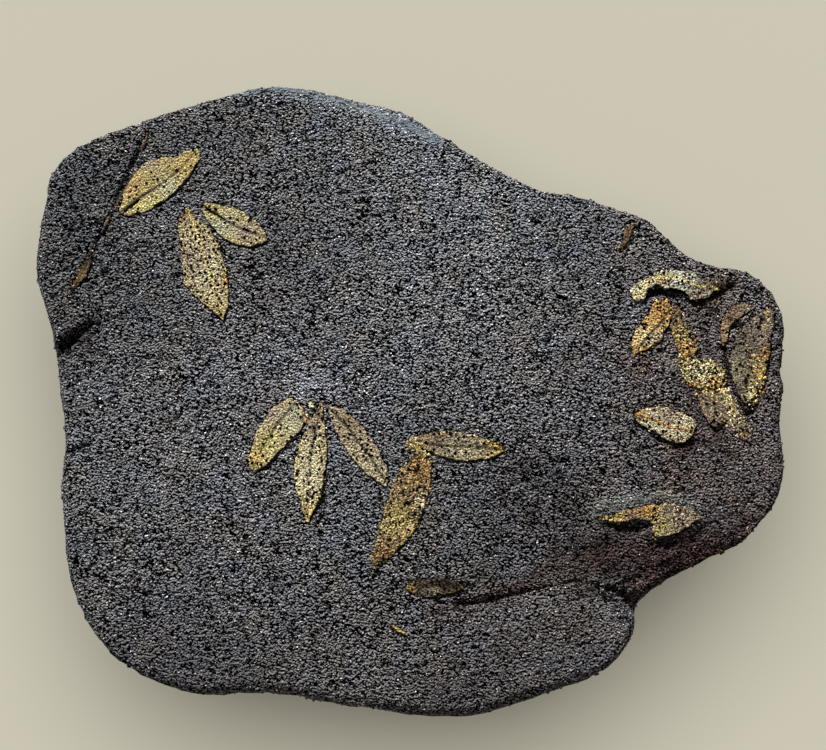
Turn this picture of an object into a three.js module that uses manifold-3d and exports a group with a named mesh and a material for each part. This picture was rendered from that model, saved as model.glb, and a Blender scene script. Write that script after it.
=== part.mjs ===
// A broken slab of dark volcanic ash, lying on its back with its leaf-bearing face up,
// and the fossil olive leaves, leaf scraps and twig bits that lie in that face.
// Millimetres. +X runs along the slab, +Y across it and +Z up out of the face.
// Each leaf is a thin film in a shallow bed of its own size, with a small gap all round.

import * as THREE from 'three';
import { mergeVertices } from 'three/addons/utils/BufferGeometryUtils.js';
import Module from 'manifold-3d';

const wasm = await Module();
wasm.setup();

// ---------------------------------------------------------------- driving dimensions

const FACE_HEIGHT = 56; // the face above the surface that the slab rests on
const UNDERCUT = 13; // how far the broken sides draw in by the time they reach the base
const BASE_CHAMFER = 1.6; // the worn edge round the base
const EDGE_DROP = 2.4; // how far the face rounds down at its rim
const EDGE_WIDTH = 4; // and over what width
const BEVEL = { middle: 1.67, half: 0.29, drop: 4, width: 5 }; // the far rim's chipped bevel, in radians
const LEAF_THICKNESS = 0.6;
const LEAF_PROUD = 0.15; // a film's top above the ash round it
const GAP = 0.3; // between a film and its bed
const BED_CLEARANCE = 4; // how far a bed's cutter reaches above the film
const SHARPEST = 0.4; // cosine that caps how far a bed runs past a pointed tip

// mesh fineness
const SQUARES = 16; // squares of the face's net, from its middle to the rim
const RIM_POINTS = 8 * SQUARES;
const RIM_INSETS = [0, 1.1, 3, 6.5]; // the last rings of the net, by their distance from the rim
const SIDE_LEVELS = [0.1, 0.28, 0.5, 0.74, 0.965]; // rings down the sides, as parts of the height
const LEAF_ROWS = 10;
const LEAF_COLUMNS = 2;
const SCRAP_ROWS = 4;
const SCRAP_COLUMNS = 1;
const RADIUS_STEPS = 720;

// ---------------------------------------------------------------- hand-picked shapes

// The slab's outline seen from above, anticlockwise from its upper left corner.
const OUTLINE = [
  [-113, 58.5], [-114.5, 41], [-113.5, 33.5], [-111, 26], [-108.5, 19.5], [-106.5, 9],
  [-105, -3], [-103.5, -10], [-102.5, -17.5], [-103.5, -24.5], [-102.5, -37.5], [-100, -55],
  [-97.5, -63], [-89, -77.5], [-82.5, -83], [-75.5, -87], [-67, -90], [-59, -92],
  [-51.5, -91], [-41, -90.5], [-32, -91.5], [-26, -93], [0, -96.5], [16, -97.5],
  [22.5, -96.5], [30.5, -94], [50, -88], [55.5, -86], [60, -82.5], [63.5, -78],
  [66, -73.5], [66, -68], [67.5, -64], [69.5, -61.5], [80, -55.5], [97, -48],
  [101, -45.5], [103, -42], [106, -39.5], [110.5, -33], [112.5, -22], [112, -16],
  [111.5, -10], [113.5, -1], [113, 7.5], [114.5, 15.5], [114.5, 23], [111, 31.5],
  [106, 36], [99.5, 38.5], [94, 38], [83, 44], [80, 47.5], [75.5, 52.5],
  [69, 55.5], [57.5, 59.5], [50.5, 62], [42.5, 63], [27.5, 70.5], [14, 79.5],
  [3.5, 87.5], [-2, 91.5], [-17, 95], [-24.5, 97], [-41, 98.5], [-48, 98],
  [-60, 94.5], [-79, 88.5], [-104, 78], [-109.5, 72], [-112.5, 66],
];

// Broad swells (rise above zero) and hollows (below) of the face.
const SWELLS = [
  { at: [17.5, -49], rise: 1.7, reach: 9 }, // the swell between the broad leaf and the crease
  { at: [-34, 5.5], rise: 0.8, reach: 6 }, // the knob where the three leaves meet
  { at: [64, -3], rise: 1.1, reach: 8 },
  { at: [30, -80], rise: 1.6, reach: 20 }, // the lower lobe
  { at: [-34, -74], rise: 0.8, reach: 20 },
  { at: [-103, 2], rise: -1.8, reach: 7 }, // the low shelf under the gash
  { at: [92, 14], rise: -1.3, reach: 18 }, // the bed of the right-hand leaves
  { at: [-80, 70], rise: -0.8, reach: 24 },
  { at: [20, 45], rise: 0.9, reach: 26 },
  { at: [84, -52], rise: -1.2, reach: 12 },
];

// Broad troughs of the face: a line, the depth and the reach to either side.
const TROUGHS = [
  { path: [[29, -20.5], [36, -30], [43, -39], [51, -48]], depth: 1.7, reach: 6 },
  { path: [[60, -61], [42, -58.5], [20, -63.5], [-2, -63]], depth: 1.6, reach: 5 },
];

// Narrow cracks, grooves and hollows, cut as tapering V channels: [x, y, width, depth].
const CHANNELS = {
  gash: [
    [-93, 20.8, 0.6, 0.6], [-97.5, 19, 3, 4], [-101, 16.4, 3.4, 4.5], [-104.5, 12.8, 3.6, 4.5],
    [-111, 7, 4.5, 4.5],
  ],
  notch: [[60, -60.6, 1, 1.5], [64.5, -63.6, 6, 9], [74, -70, 17, 22]],
  crease: [
    [61, -61, 2.6, 3], [49, -58.6, 2.2, 2], [36, -61.4, 1.6, 1.4], [22, -64.6, 3, 2.6], [8, -65.4, 1.6, 1.2],
  ],
  lipHollow: [[72.2, 28.6, 1, 1.5], [75.2, 30.6, 2.6, 3.6], [80, 28.4, 2.6, 3.6], [86.4, 28.6, 1.4, 2]],
  brokenLeafHollow: [[57, -41.9, 0.8, 1], [62, -43.6, 2.8, 3], [68, -44, 3, 3.2], [71, -44.6, 1.6, 2]],
  grooveAbove: [[86.5, 25.6, 1.6, 1.6], [92.5, 28.8, 1.8, 1.6], [100, 32.6, 0.6, 0.6]],
};

// Every leaf runs from its stalk end to its tip; near and far are its two edges between them.
const LEAVES = {
  leaf_top_left: {
    stalk: [-89, 54.5], tip: [-65.5, 76.5],
    near: [[-87.5, 62], [-85, 67.5], [-81.5, 71.5], [-77, 73.5], [-72.5, 73], [-69.5, 74.5]],
    far: [[-84.5, 54.5], [-80.5, 56], [-76, 59], [-71.5, 62.5], [-67, 68.5], [-65.5, 73]],
    split: [[-90, 53], [-82.5, 59.8]], color: 0x9b9063,
  },
  leaf_upper_short: {
    stalk: [-64.5, 58], tip: [-43, 46],
    near: [[-60.5, 58], [-56, 57], [-51.5, 55.5], [-48, 53], [-45, 50.5]],
    far: [[-62.5, 53.5], [-60, 50.5], [-57.5, 47.5], [-54.5, 45.5], [-48, 44]],
    split: [[-65.5, 58.6], [-56, 52.5]], color: 0x9a9068,
  },
  leaf_upper_long: {
    stalk: [-68.5, 57], tip: [-56, 20],
    near: [[-65, 53.5], [-61, 49], [-58, 44], [-55, 34], [-54.5, 27.5]],
    far: [[-70.5, 53], [-70, 46.5], [-68.5, 35], [-67.5, 31], [-61, 25]],
    color: 0x958a6d,
  },
  leaf_trio_left: {
    stalk: [-35, -3.5], tip: [-46, -27],
    near: [[-40, -6.5], [-45, -14], [-46.5, -19], [-47.5, -23.5]],
    far: [[-32, -6.5], [-30, -9], [-31.5, -13], [-35.5, -17], [-40.5, -22.5]],
    color: 0x9a9170,
  },
  leaf_trio_middle: {
    stalk: [-26, -4.5], tip: [-29.5, -41.5],
    near: [[-27.5, -8], [-30.5, -13.5], [-33, -20.5], [-33.5, -28], [-31.5, -36.5]],
    far: [[-25.5, -8.5], [-24, -19.5], [-25, -28], [-26, -34], [-28, -38]],
    color: 0x9f9477,
  },
  leaf_trio_right: {
    stalk: [-24.5, -5.5], tip: [-6.5, -31],
    near: [[-18.5, -8], [-12.5, -14], [-8.5, -20.5], [-6, -27.5]],
    far: [[-23.5, -9], [-20.5, -16], [-16, -23], [-11, -28]],
    color: 0x918670,
  },
  leaf_middle_level: {
    stalk: [0, -16.5], tip: [29, -19.5],
    near: [[4, -15], [12, -14], [19, -15], [26, -17.5]],
    far: [[4, -19], [9.5, -21.5], [16, -23], [24.5, -22]],
    color: 0x817861,
  },
  leaf_middle_broad: {
    stalk: [4, -20.5], tip: [-10.5, -55],
    near: [[-1, -24], [-5, -32], [-8, -42], [-11, -53]],
    far: [[7, -24], [6, -31.5], [3.5, -40.5], [-1.5, -48]],
    color: 0x806b48,
  },
  leaf_in_crease: {
    stalk: [-1, -60.5], tip: [16.5, -60.5],
    near: [[1.5, -59], [7.5, -58], [12, -58.5]],
    far: [[1, -62], [6.5, -63], [13, -62]],
    color: 0x6b6045,
  },
  leaf_curled: {
    stalk: [68.5, 26.5], tip: [95, 30.5],
    near: [[67.5, 30.5], [72, 33.5], [77, 36], [81, 36], [87.5, 36], [90, 32.5]],
    far: [[71.5, 26.5], [73, 31], [76, 32], [79, 30], [83.5, 30.5], [86.5, 26.5]],
    lift: 1.3, color: 0x97907a,
  },
  leaf_gold: {
    stalk: [79, 27.5], tip: [68.5, 10],
    near: [[74, 26], [73.5, 23.5], [69.5, 18.5], [67, 13.5]],
    far: [[79.5, 25], [79.8, 22], [78, 18], [75, 13.5]],
    color: 0x987f55,
  },
  leaf_bronze: {
    stalk: [80.8, 25.5], tip: [84.5, 9.5],
    near: [[82.5, 24.5], [85, 19], [87, 14], [87.5, 11]],
    far: [[81, 21], [80, 17.5], [80.5, 13], [82, 10]],
    color: 0x7d6c4c,
  },
  leaf_gritty: {
    stalk: [81.5, 7.5], tip: [95.5, 0.5],
    near: [[85, 7.8], [89.5, 8.3], [92.5, 7], [95.5, 3.5]],
    far: [[82.5, 2.5], [85, 0], [88.5, -1], [92, -1]],
    color: 0x978c70,
  },
  leaf_grey_brown: {
    stalk: [86.5, -2.5], tip: [94.5, -11.5],
    near: [[89.5, -2.2], [94, -1.8], [97, -3.5], [98, -6]],
    far: [[87.5, -7.5], [89.5, -11], [91.5, -12.5]],
    color: 0x726856,
  },
  leaf_end_scrap: {
    stalk: [98.2, -9.8], tip: [101.5, -17.5],
    near: [[100.3, -10], [102, -13.5]],
    far: [[97, -12.5], [98.5, -16]],
    color: 0x746549,
  },
  leaf_arc: {
    stalk: [105.5, 25], tip: [95, 12.5],
    near: [[101, 26], [98.5, 25], [96, 22.5], [94.5, 19]],
    far: [[102, 22.5], [99, 20.5], [97, 18], [96.5, 15]],
    color: 0x6e6252,
  },
  leaf_far_right: {
    stalk: [111, 25.5], tip: [101, -5.5],
    near: [[106, 22.5], [101.5, 18.5], [98, 13.5], [97, 7], [98.5, -1]],
    far: [[110.5, 21], [109.5, 16], [108.5, 9], [106.5, 2], [103.5, -3.5]],
    color: 0x6b5f50,
  },
  leaf_ribbed: {
    stalk: [67.5, -9], tip: [85, -14.5],
    near: [[70, -7], [77, -6.5], [82, -8.5], [85.5, -11.5]],
    far: [[68.5, -11.5], [74, -14.5], [78, -17], [81.5, -17.5]],
    color: 0x938468,
  },
  leaf_broken: {
    stalk: [58, -40.5], tip: [85.5, -40],
    near: [[62, -38.5], [70.5, -36.5], [79, -36], [83, -38]],
    far: [[63, -41.5], [69.5, -40.5], [72.5, -45.5], [78.5, -44.5]],
    lift: 0.7, color: 0x85775e,
  },
  leaf_sliver_low: {
    stalk: [-5.4, -71.2], tip: [0.2, -74.8], near: [[-2.6, -72.4]], far: [[-3, -73.5]],
    scrap: true, color: 0xa89c3c,
  },
  leaf_sliver_high: {
    stalk: [68.7, 51.2], tip: [64.7, 42.4], near: [[66, 48.4]], far: [[67.3, 46]],
    scrap: true, color: 0x917b3c,
  },
  leaf_bud: {
    stalk: [-29.3, -4.6], tip: [-28.9, -7.1], near: [[-30, -5.8]], far: [[-28.3, -5.8]],
    scrap: true, color: 0x9a9a70,
  },
  twig_upper: {
    stalk: [-81.1, 81.9], tip: [-83.5, 75.2], near: [[-82.7, 79]], far: [[-81.6, 78.3]],
    scrap: true, color: 0x5d4636,
  },
  twig_middle: {
    stalk: [-91.3, 55.4], tip: [-94, 48.8], near: [[-93.2, 52.4]], far: [[-92.2, 51.8]],
    scrap: true, color: 0x65503a,
  },
  twig_lower: {
    stalk: [-96.4, 41.7], tip: [-102.1, 30], near: [[-99.8, 37.4]], far: [[-97.8, 35.8]],
    scrap: true, color: 0x8a7550,
  },
};

// ---------------------------------------------------------------- the slab's surface

// The outline's radius for evenly spaced turns round the middle.
function tabulateRadii() {
  const corners = OUTLINE.map(([x, y]) => new THREE.Vector3(x, y, 0));
  const curve = new THREE.CatmullRomCurve3(corners, true, 'centripetal');
  const samples = curve.getPoints(4 * RADIUS_STEPS).map((p) => [turnOf(p.x, p.y), Math.hypot(p.x, p.y)]);
  samples.sort((a, b) => a[0] - b[0]);
  const first = samples[0];
  const last = samples[samples.length - 1];
  samples.unshift([last[0] - 2 * Math.PI, last[1]]);
  samples.push([first[0] + 2 * Math.PI, first[1]]);
  const radii = [];
  let next = 1;
  for (let step = 0; step < RADIUS_STEPS; step++) {
    const turn = (2 * Math.PI * step) / RADIUS_STEPS;
    while (samples[next][0] < turn) next++;
    const [turnA, radiusA] = samples[next - 1];
    const [turnB, radiusB] = samples[next];
    const part = (turn - turnA) / Math.max(turnB - turnA, 1e-9);
    radii.push(radiusA + (radiusB - radiusA) * part);
  }
  return radii;
}

function turnOf(x, y) {
  return (Math.atan2(y, x) + 2 * Math.PI) % (2 * Math.PI);
}

const RADII = tabulateRadii();

function rimRadius(turn) {
  const steps = (((turn / (2 * Math.PI)) % 1) + 1) * RADIUS_STEPS;
  const step = Math.floor(steps);
  const part = steps - step;
  return RADII[step % RADIUS_STEPS] * (1 - part) + RADII[(step + 1) % RADIUS_STEPS] * part;
}

// The rim's radius with its small notches and corners worn away, as it is lower down the sides.
function wornRadius(turn) {
  const reach = 0.13;
  const samples = [-2, -1, 0, 1, 2].map((k) => rimRadius(turn + (k * reach) / 2));
  return samples.reduce((sum, radius) => sum + radius, 0) / samples.length;
}

// How deep the rim's chipped bevel is at a turn, from 0 beside it to 1 in its middle.
function bevelAt(turn) {
  const away = Math.abs(turn - BEVEL.middle) / BEVEL.half;
  return away < 1 ? Math.cos((away * Math.PI) / 2) : 0;
}

function edgeDrop(turn, inset) {
  const bevel = bevelAt(turn);
  const width = EDGE_WIDTH + BEVEL.width * bevel;
  const drop = EDGE_DROP + BEVEL.drop * bevel;
  const nearness = THREE.MathUtils.clamp(1 - inset / width, 0, 1);
  return drop * Math.pow(nearness, 2 - 0.8 * bevel);
}

function distanceToPath(x, y, path) {
  const point = new THREE.Vector3(x, y, 0);
  const nearest = new THREE.Vector3();
  let shortest = Infinity;
  for (let k = 1; k < path.length; k++) {
    const start = new THREE.Vector3(path[k - 1][0], path[k - 1][1], 0);
    const end = new THREE.Vector3(path[k][0], path[k][1], 0);
    new THREE.Line3(start, end).closestPointToPoint(point, true, nearest);
    shortest = Math.min(shortest, nearest.distanceTo(point));
  }
  return shortest;
}

function relief(x, y) {
  let height = 0.35 * Math.sin(x / 17 + 1) * Math.cos(y / 21) + 0.25 * Math.sin((x + y) / 9);
  for (const { at, rise, reach } of SWELLS) {
    const away = Math.hypot(x - at[0], y - at[1]) / reach;
    height += rise * Math.exp(-away * away);
  }
  for (const { path, depth, reach } of TROUGHS) {
    const away = distanceToPath(x, y, path) / reach;
    height -= depth * Math.exp(-away * away);
  }
  return height;
}

function faceHeight(x, y) {
  const turn = turnOf(x, y);
  const inset = rimRadius(turn) - Math.hypot(x, y);
  return FACE_HEIGHT + relief(x, y) - edgeDrop(turn, inset);
}

// ---------------------------------------------------------------- the slab's body

// Position along a square ring of the net, counted in points from the +X side.
function placeOnRing(i, j) {
  const ring = Math.max(Math.abs(i), Math.abs(j));
  if (i === ring && j > -ring) return j;
  if (j === ring) return 2 * ring - i;
  if (i === -ring) return 4 * ring - j;
  return 6 * ring + i;
}

function ringRadius(ring, turn) {
  const radius = rimRadius(turn);
  const fromRim = SQUARES - ring;
  if (fromRim < RIM_INSETS.length) return radius - RIM_INSETS[fromRim];
  const lastInset = RIM_INSETS[RIM_INSETS.length - 1];
  return ((radius - lastInset) * ring) / (SQUARES - RIM_INSETS.length + 1);
}

function netPoint(i, j) {
  const ring = Math.max(Math.abs(i), Math.abs(j));
  if (ring === 0) return new THREE.Vector3(0, 0, faceHeight(0, 0));
  const turn = (placeOnRing(i, j) / (8 * ring)) * 2 * Math.PI;
  const radius = ringRadius(ring, turn);
  const x = radius * Math.cos(turn);
  const y = radius * Math.sin(turn);
  return new THREE.Vector3(x, y, faceHeight(x, y));
}

// A point of the broken side: part runs from 0 at the rim to 1 at the base.
function sidePoint(turn, part) {
  const radius = rimRadius(turn);
  const rimHeight = faceHeight(radius * Math.cos(turn), radius * Math.sin(turn));
  const worn = THREE.MathUtils.smoothstep(part, 0, 0.3);
  const undercut = UNDERCUT * (1 + 0.3 * Math.sin(3 * turn + 2.4));
  const scallops = 3 * Math.abs(Math.sin(3.5 * turn + 1.6 * part)) - 2; // shallow shell-like breaks
  const hackle = 0.8 * Math.sin(9 * turn + 9 * part) + 0.6 * Math.sin(17 * turn - 7 * part + 1);
  const breaks = (scallops + hackle) * part * (1.6 - part);
  const lowRadius = wornRadius(turn) - undercut * Math.pow(part, 0.85) + breaks;
  const chamfer = part === 1 ? BASE_CHAMFER : 0;
  const here = radius * (1 - worn) + lowRadius * worn - chamfer;
  return new THREE.Vector3(here * Math.cos(turn), here * Math.sin(turn), rimHeight * (1 - part));
}

function pushTriangle(positions, a, b, c) {
  positions.push(...a.toArray(), ...b.toArray(), ...c.toArray());
}

function slabGeometry() {
  const positions = [];
  for (let i = -SQUARES; i < SQUARES; i++) {
    for (let j = -SQUARES; j < SQUARES; j++) {
      const corners = [netPoint(i, j), netPoint(i + 1, j), netPoint(i + 1, j + 1), netPoint(i, j + 1)];
      const first = (i + 0.5) * (j + 0.5) > 0 ? 0 : 1; // diagonals run out from the middle
      pushTriangle(positions, corners[first], corners[first + 1], corners[(first + 2) % 4]);
      pushTriangle(positions, corners[first], corners[(first + 2) % 4], corners[(first + 3) % 4]);
    }
  }
  const turns = Array.from({ length: RIM_POINTS }, (_, k) => (k / RIM_POINTS) * 2 * Math.PI);
  const levels = [0, ...SIDE_LEVELS, 1];
  for (let k = 0; k < RIM_POINTS; k++) {
    const here = turns[k];
    const next = turns[(k + 1) % RIM_POINTS];
    for (let level = 1; level < levels.length; level++) {
      const upper = [sidePoint(here, levels[level - 1]), sidePoint(next, levels[level - 1])];
      const lower = [sidePoint(here, levels[level]), sidePoint(next, levels[level])];
      pushTriangle(positions, upper[0], lower[0], lower[1]);
      pushTriangle(positions, upper[0], lower[1], upper[1]);
    }
    pushTriangle(positions, new THREE.Vector3(0, 0, 0), sidePoint(next, 1), sidePoint(here, 1));
  }
  return closedGeometry(positions);
}

// ---------------------------------------------------------------- solids from nets

function closedGeometry(positions) {
  const loose = new THREE.BufferGeometry();
  loose.setAttribute('position', new THREE.Float32BufferAttribute(positions, 3));
  const merged = mergeVertices(loose, 1e-3);
  const index = merged.getIndex().array;
  const kept = [];
  for (let k = 0; k < index.length; k += 3) {
    const [a, b, c] = [index[k], index[k + 1], index[k + 2]];
    if (a !== b && b !== c && c !== a) kept.push(a, b, c); // triangles that a pointed end closes up
  }
  merged.setIndex(kept);
  return merged;
}

// A plate between two nets of the same rows and columns.
function plateGeometry(top, bottom) {
  const rows = top.length - 1;
  const columns = top[0].length - 1;
  const positions = [];
  const pushQuad = (a, b, c, d) => {
    pushTriangle(positions, a, b, c);
    pushTriangle(positions, a, c, d);
  };
  for (let row = 0; row < rows; row++) {
    for (let column = 0; column < columns; column++) {
      pushQuad(top[row][column], top[row + 1][column], top[row + 1][column + 1], top[row][column + 1]);
      const [low, lowNext] = [bottom[row], bottom[row + 1]];
      pushQuad(low[column], low[column + 1], lowNext[column + 1], lowNext[column]);
    }
    pushQuad(bottom[row][0], bottom[row + 1][0], top[row + 1][0], top[row][0]);
    pushQuad(top[row][columns], top[row + 1][columns], bottom[row + 1][columns], bottom[row][columns]);
  }
  return closedGeometry(positions);
}

function toSolid(geometry) {
  const mesh = new wasm.Mesh({
    numProp: 3,
    vertProperties: new Float32Array(geometry.getAttribute('position').array),
    triVerts: new Uint32Array(geometry.getIndex().array),
  });
  return new wasm.Manifold(mesh);
}

function toGeometry(solid) {
  const { vertProperties, triVerts } = solid.getMesh();
  const geometry = new THREE.BufferGeometry();
  geometry.setAttribute('position', new THREE.Float32BufferAttribute(vertProperties, 3));
  geometry.setIndex([...triVerts]);
  return geometry;
}

// ---------------------------------------------------------------- leaves

function edgePoints(leaf, edge, rows) {
  const stops = [leaf.stalk, ...leaf[edge], leaf.tip].map(([x, y]) => new THREE.Vector2(x, y));
  return new THREE.SplineCurve(stops).getSpacedPoints(rows);
}

// The leaf's two edges, each moved outwards by the margin.
function leafEdges(leaf, margin) {
  const rows = leaf.scrap ? SCRAP_ROWS : LEAF_ROWS;
  const near = edgePoints(leaf, 'near', rows);
  const far = edgePoints(leaf, 'far', rows);
  const loop = [...near, ...far.slice(1, -1).reverse()];
  const area = THREE.ShapeUtils.area(loop);
  const grown = loop.map((point, k) => {
    const before = loop[(k + loop.length - 1) % loop.length];
    const after = loop[(k + 1) % loop.length];
    const incoming = point.clone().sub(before).normalize();
    const outgoing = after.clone().sub(point).normalize();
    const along = incoming.clone().add(outgoing).normalize();
    const outward = new THREE.Vector2(along.y, -along.x).multiplyScalar(Math.sign(area));
    const mitre = 1 / Math.max(along.dot(outgoing), SHARPEST);
    return point.clone().addScaledVector(outward, margin * mitre);
  });
  const grownNear = grown.slice(0, rows + 1);
  const grownFar = [grown[0], ...grown.slice(rows + 1).reverse(), grown[rows]];
  return { near: grownNear, far: grownFar, clockwise: area < 0 };
}

// The leaf's net of points: level is their height above the film's underside.
function leafNet(leaf, margin, level) {
  const { near, far, clockwise } = leafEdges(leaf, margin);
  const columns = leaf.scrap ? SCRAP_COLUMNS : LEAF_COLUMNS;
  const net = near.map((point, row) => {
    const line = [];
    for (let column = 0; column <= columns; column++) {
      const part = column / columns;
      const flat = point.clone().lerp(far[row], part);
      const lift = (leaf.lift ?? 0) * part * Math.sin((Math.PI * row) / (near.length - 1));
      const underside = faceHeight(flat.x, flat.y) + LEAF_PROUD - LEAF_THICKNESS + lift;
      line.push(new THREE.Vector3(flat.x, flat.y, underside + level));
    }
    return clockwise ? line.reverse() : line;
  });
  return net;
}

// The split at the stalk end, where the blade has parted along its midrib.
function splitSolid([start, end]) {
  const along = new THREE.Vector2(end[0] - start[0], end[1] - start[1]).normalize();
  const across = new THREE.Vector2(-along.y, along.x).multiplyScalar(0.7);
  const outline = [
    [start[0] + across.x, start[1] + across.y],
    [start[0] - across.x, start[1] - across.y],
    end,
  ];
  const ring = (z) => outline.map(([x, y]) => new THREE.Vector3(x, y, z));
  const low = ring(FACE_HEIGHT - 8);
  const high = ring(FACE_HEIGHT + 8);
  return toSolid(prismGeometry([low, high]));
}

function leafGeometry(leaf) {
  const film = plateGeometry(leafNet(leaf, 0, LEAF_THICKNESS), leafNet(leaf, 0, 0));
  if (!leaf.split) return film;
  return toGeometry(toSolid(film).subtract(splitSolid(leaf.split)));
}

function bedSolid(leaf) {
  return toSolid(plateGeometry(leafNet(leaf, GAP, BED_CLEARANCE), leafNet(leaf, GAP, -GAP)));
}

// ---------------------------------------------------------------- channels

// A closed body through triangular sections, each listed clockwise looking from the first to the last.
function prismGeometry(sections) {
  const positions = [];
  const corners = sections[0].length;
  for (let k = 1; k < sections.length; k++) {
    for (let corner = 0; corner < corners; corner++) {
      const next = (corner + 1) % corners;
      pushTriangle(positions, sections[k - 1][corner], sections[k - 1][next], sections[k][next]);
      pushTriangle(positions, sections[k - 1][corner], sections[k][next], sections[k][corner]);
    }
  }
  const last = sections[sections.length - 1];
  pushTriangle(positions, sections[0][2], sections[0][1], sections[0][0]);
  pushTriangle(positions, last[0], last[1], last[2]);
  return closedGeometry(positions);
}

function channelSolid(stops) {
  const sections = stops.map(([x, y, width, depth], k) => {
    const before = stops[Math.max(k - 1, 0)];
    const after = stops[Math.min(k + 1, stops.length - 1)];
    const along = new THREE.Vector2(after[0] - before[0], after[1] - before[1]).normalize();
    const reach = 3; // the cutter stands this far out of the face, and widens as it does
    const half = (width / 2) * (1 + reach / depth);
    const top = FACE_HEIGHT + relief(x, y) + reach;
    return [
      new THREE.Vector3(x + along.y * half, y - along.x * half, top),
      new THREE.Vector3(x, y, FACE_HEIGHT + relief(x, y) - depth),
      new THREE.Vector3(x - along.y * half, y + along.x * half, top),
    ];
  });
  return toSolid(prismGeometry(sections));
}

// ---------------------------------------------------------------- assembly

function slabSolid() {
  let slab = toSolid(slabGeometry());
  for (const stops of Object.values(CHANNELS)) slab = slab.subtract(channelSolid(stops));
  for (const leaf of Object.values(LEAVES)) slab = slab.subtract(bedSolid(leaf));
  return slab;
}

function makeMesh(name, geometry, color, roughness) {
  const material = new THREE.MeshStandardMaterial({ color, roughness, metalness: 0 });
  const mesh = new THREE.Mesh(geometry, material);
  mesh.name = name;
  return mesh;
}

const fossil = new THREE.Group();
fossil.add(makeMesh('ash_matrix', toGeometry(slabSolid()), 0x515152, 0.95));
for (const [name, leaf] of Object.entries(LEAVES)) {
  fossil.add(makeMesh(name, leafGeometry(leaf), leaf.color, 0.75));
}

// the middle of the base is the origin
const bounds = new THREE.Box3().setFromObject(fossil);
const middle = bounds.getCenter(new THREE.Vector3());
fossil.position.set(-middle.x, -middle.y, 0);

export default fossil;
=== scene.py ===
"""The looks of a slab of dark volcanic ash with fossil olive leaves in its face.

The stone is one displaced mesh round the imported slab, under a coat of small ash grains.
Each leaf is a thin film with its own rib, relief and colours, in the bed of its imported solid.
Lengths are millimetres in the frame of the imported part, unless a name says otherwise.
"""

import math
from typing import NamedTuple

import bpy
import bmesh
import numpy as np
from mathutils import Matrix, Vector
from mathutils.bvhtree import BVHTree
from mathutils.geometry import delaunay_2d_cdt


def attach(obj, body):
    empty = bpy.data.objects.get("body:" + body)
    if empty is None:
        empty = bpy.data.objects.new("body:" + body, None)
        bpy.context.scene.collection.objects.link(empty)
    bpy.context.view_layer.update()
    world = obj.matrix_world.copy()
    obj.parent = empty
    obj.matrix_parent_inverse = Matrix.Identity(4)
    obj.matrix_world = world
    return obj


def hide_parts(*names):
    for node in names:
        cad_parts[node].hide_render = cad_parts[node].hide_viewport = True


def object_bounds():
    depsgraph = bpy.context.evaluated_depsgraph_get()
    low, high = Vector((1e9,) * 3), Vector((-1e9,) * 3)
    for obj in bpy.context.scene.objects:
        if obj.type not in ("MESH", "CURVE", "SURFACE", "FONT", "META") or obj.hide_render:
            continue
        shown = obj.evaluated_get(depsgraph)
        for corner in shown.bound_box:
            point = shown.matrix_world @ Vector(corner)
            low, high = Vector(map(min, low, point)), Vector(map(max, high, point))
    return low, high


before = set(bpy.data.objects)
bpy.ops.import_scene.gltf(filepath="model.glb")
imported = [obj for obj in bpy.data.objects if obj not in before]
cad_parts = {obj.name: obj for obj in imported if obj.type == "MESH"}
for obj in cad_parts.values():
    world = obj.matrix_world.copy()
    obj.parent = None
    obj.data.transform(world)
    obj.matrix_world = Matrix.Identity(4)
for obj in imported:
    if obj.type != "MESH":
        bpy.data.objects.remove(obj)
CAD_BOX = [list(corner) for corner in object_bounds()]

MM = 0.001
BODY = "root"
STONE_NODE = "ash_matrix"
LEAF_NODES = sorted(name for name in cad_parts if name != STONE_NODE)


def new_object(name, data):
    thing = bpy.data.objects.new(name, data)
    bpy.context.scene.collection.objects.link(thing)
    return thing


def new_material(name, values):
    """A new material and its shader, with some of the shader's values set."""
    material = bpy.data.materials.new(name)
    material.use_nodes = True
    shader = material.node_tree.nodes["Principled BSDF"]
    for socket, value in values.items():
        shader.inputs[socket].default_value = value
    return material, shader


# ---------------------------------------------------------------- the camera

PICTURE_WIDTH = 826
FOCAL_PIXELS = 1860
SENSOR_WIDTH = 36.0
AIM = (1.33, 2.9, 56.0)
CAMERA_ELEVATION = math.radians(75)
CAMERA_DISTANCE = 558.0
CLIP = (0.02, 20.0)  # metres


def add_camera():
    data = bpy.data.cameras.new("camera")
    data.sensor_width = SENSOR_WIDTH
    data.lens = SENSOR_WIDTH * FOCAL_PIXELS / PICTURE_WIDTH
    data.clip_start, data.clip_end = CLIP
    camera = new_object("camera", data)
    back = Vector((0, -math.cos(CAMERA_ELEVATION), math.sin(CAMERA_ELEVATION)))
    camera.location = (Vector(AIM) + back * CAMERA_DISTANCE) * MM
    camera.rotation_euler = (math.pi / 2 - CAMERA_ELEVATION, 0, 0)
    bpy.context.scene.camera = camera


# ---------------------------------------------------------------- light and floor

# The key light rakes the stone from behind and a little left. The floor has its own, higher one.
KEY = {"strength": 6.0, "angle": 4, "elevation": 38, "azimuth": 114}
FLOOR_KEY = {"strength": 2.5, "angle": 75, "elevation": 80, "azimuth": 110}
LIGHT_COLOR = (1.0, 0.993, 0.972)
FILL_STRENGTH = 0.22
FILL_COLOR = (1.0, 0.98, 0.95, 1)
FLOOR_COLOR = (0.60, 0.575, 0.47, 1)
FLOOR_ROUGHNESS = 0.95
FLOOR_SIDE = 3.0  # metres


def add_world():
    world = bpy.data.worlds.new("studio")
    world.use_nodes = True
    background = world.node_tree.nodes["Background"]
    background.inputs["Color"].default_value = FILL_COLOR
    background.inputs["Strength"].default_value = FILL_STRENGTH
    bpy.context.scene.world = world


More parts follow.
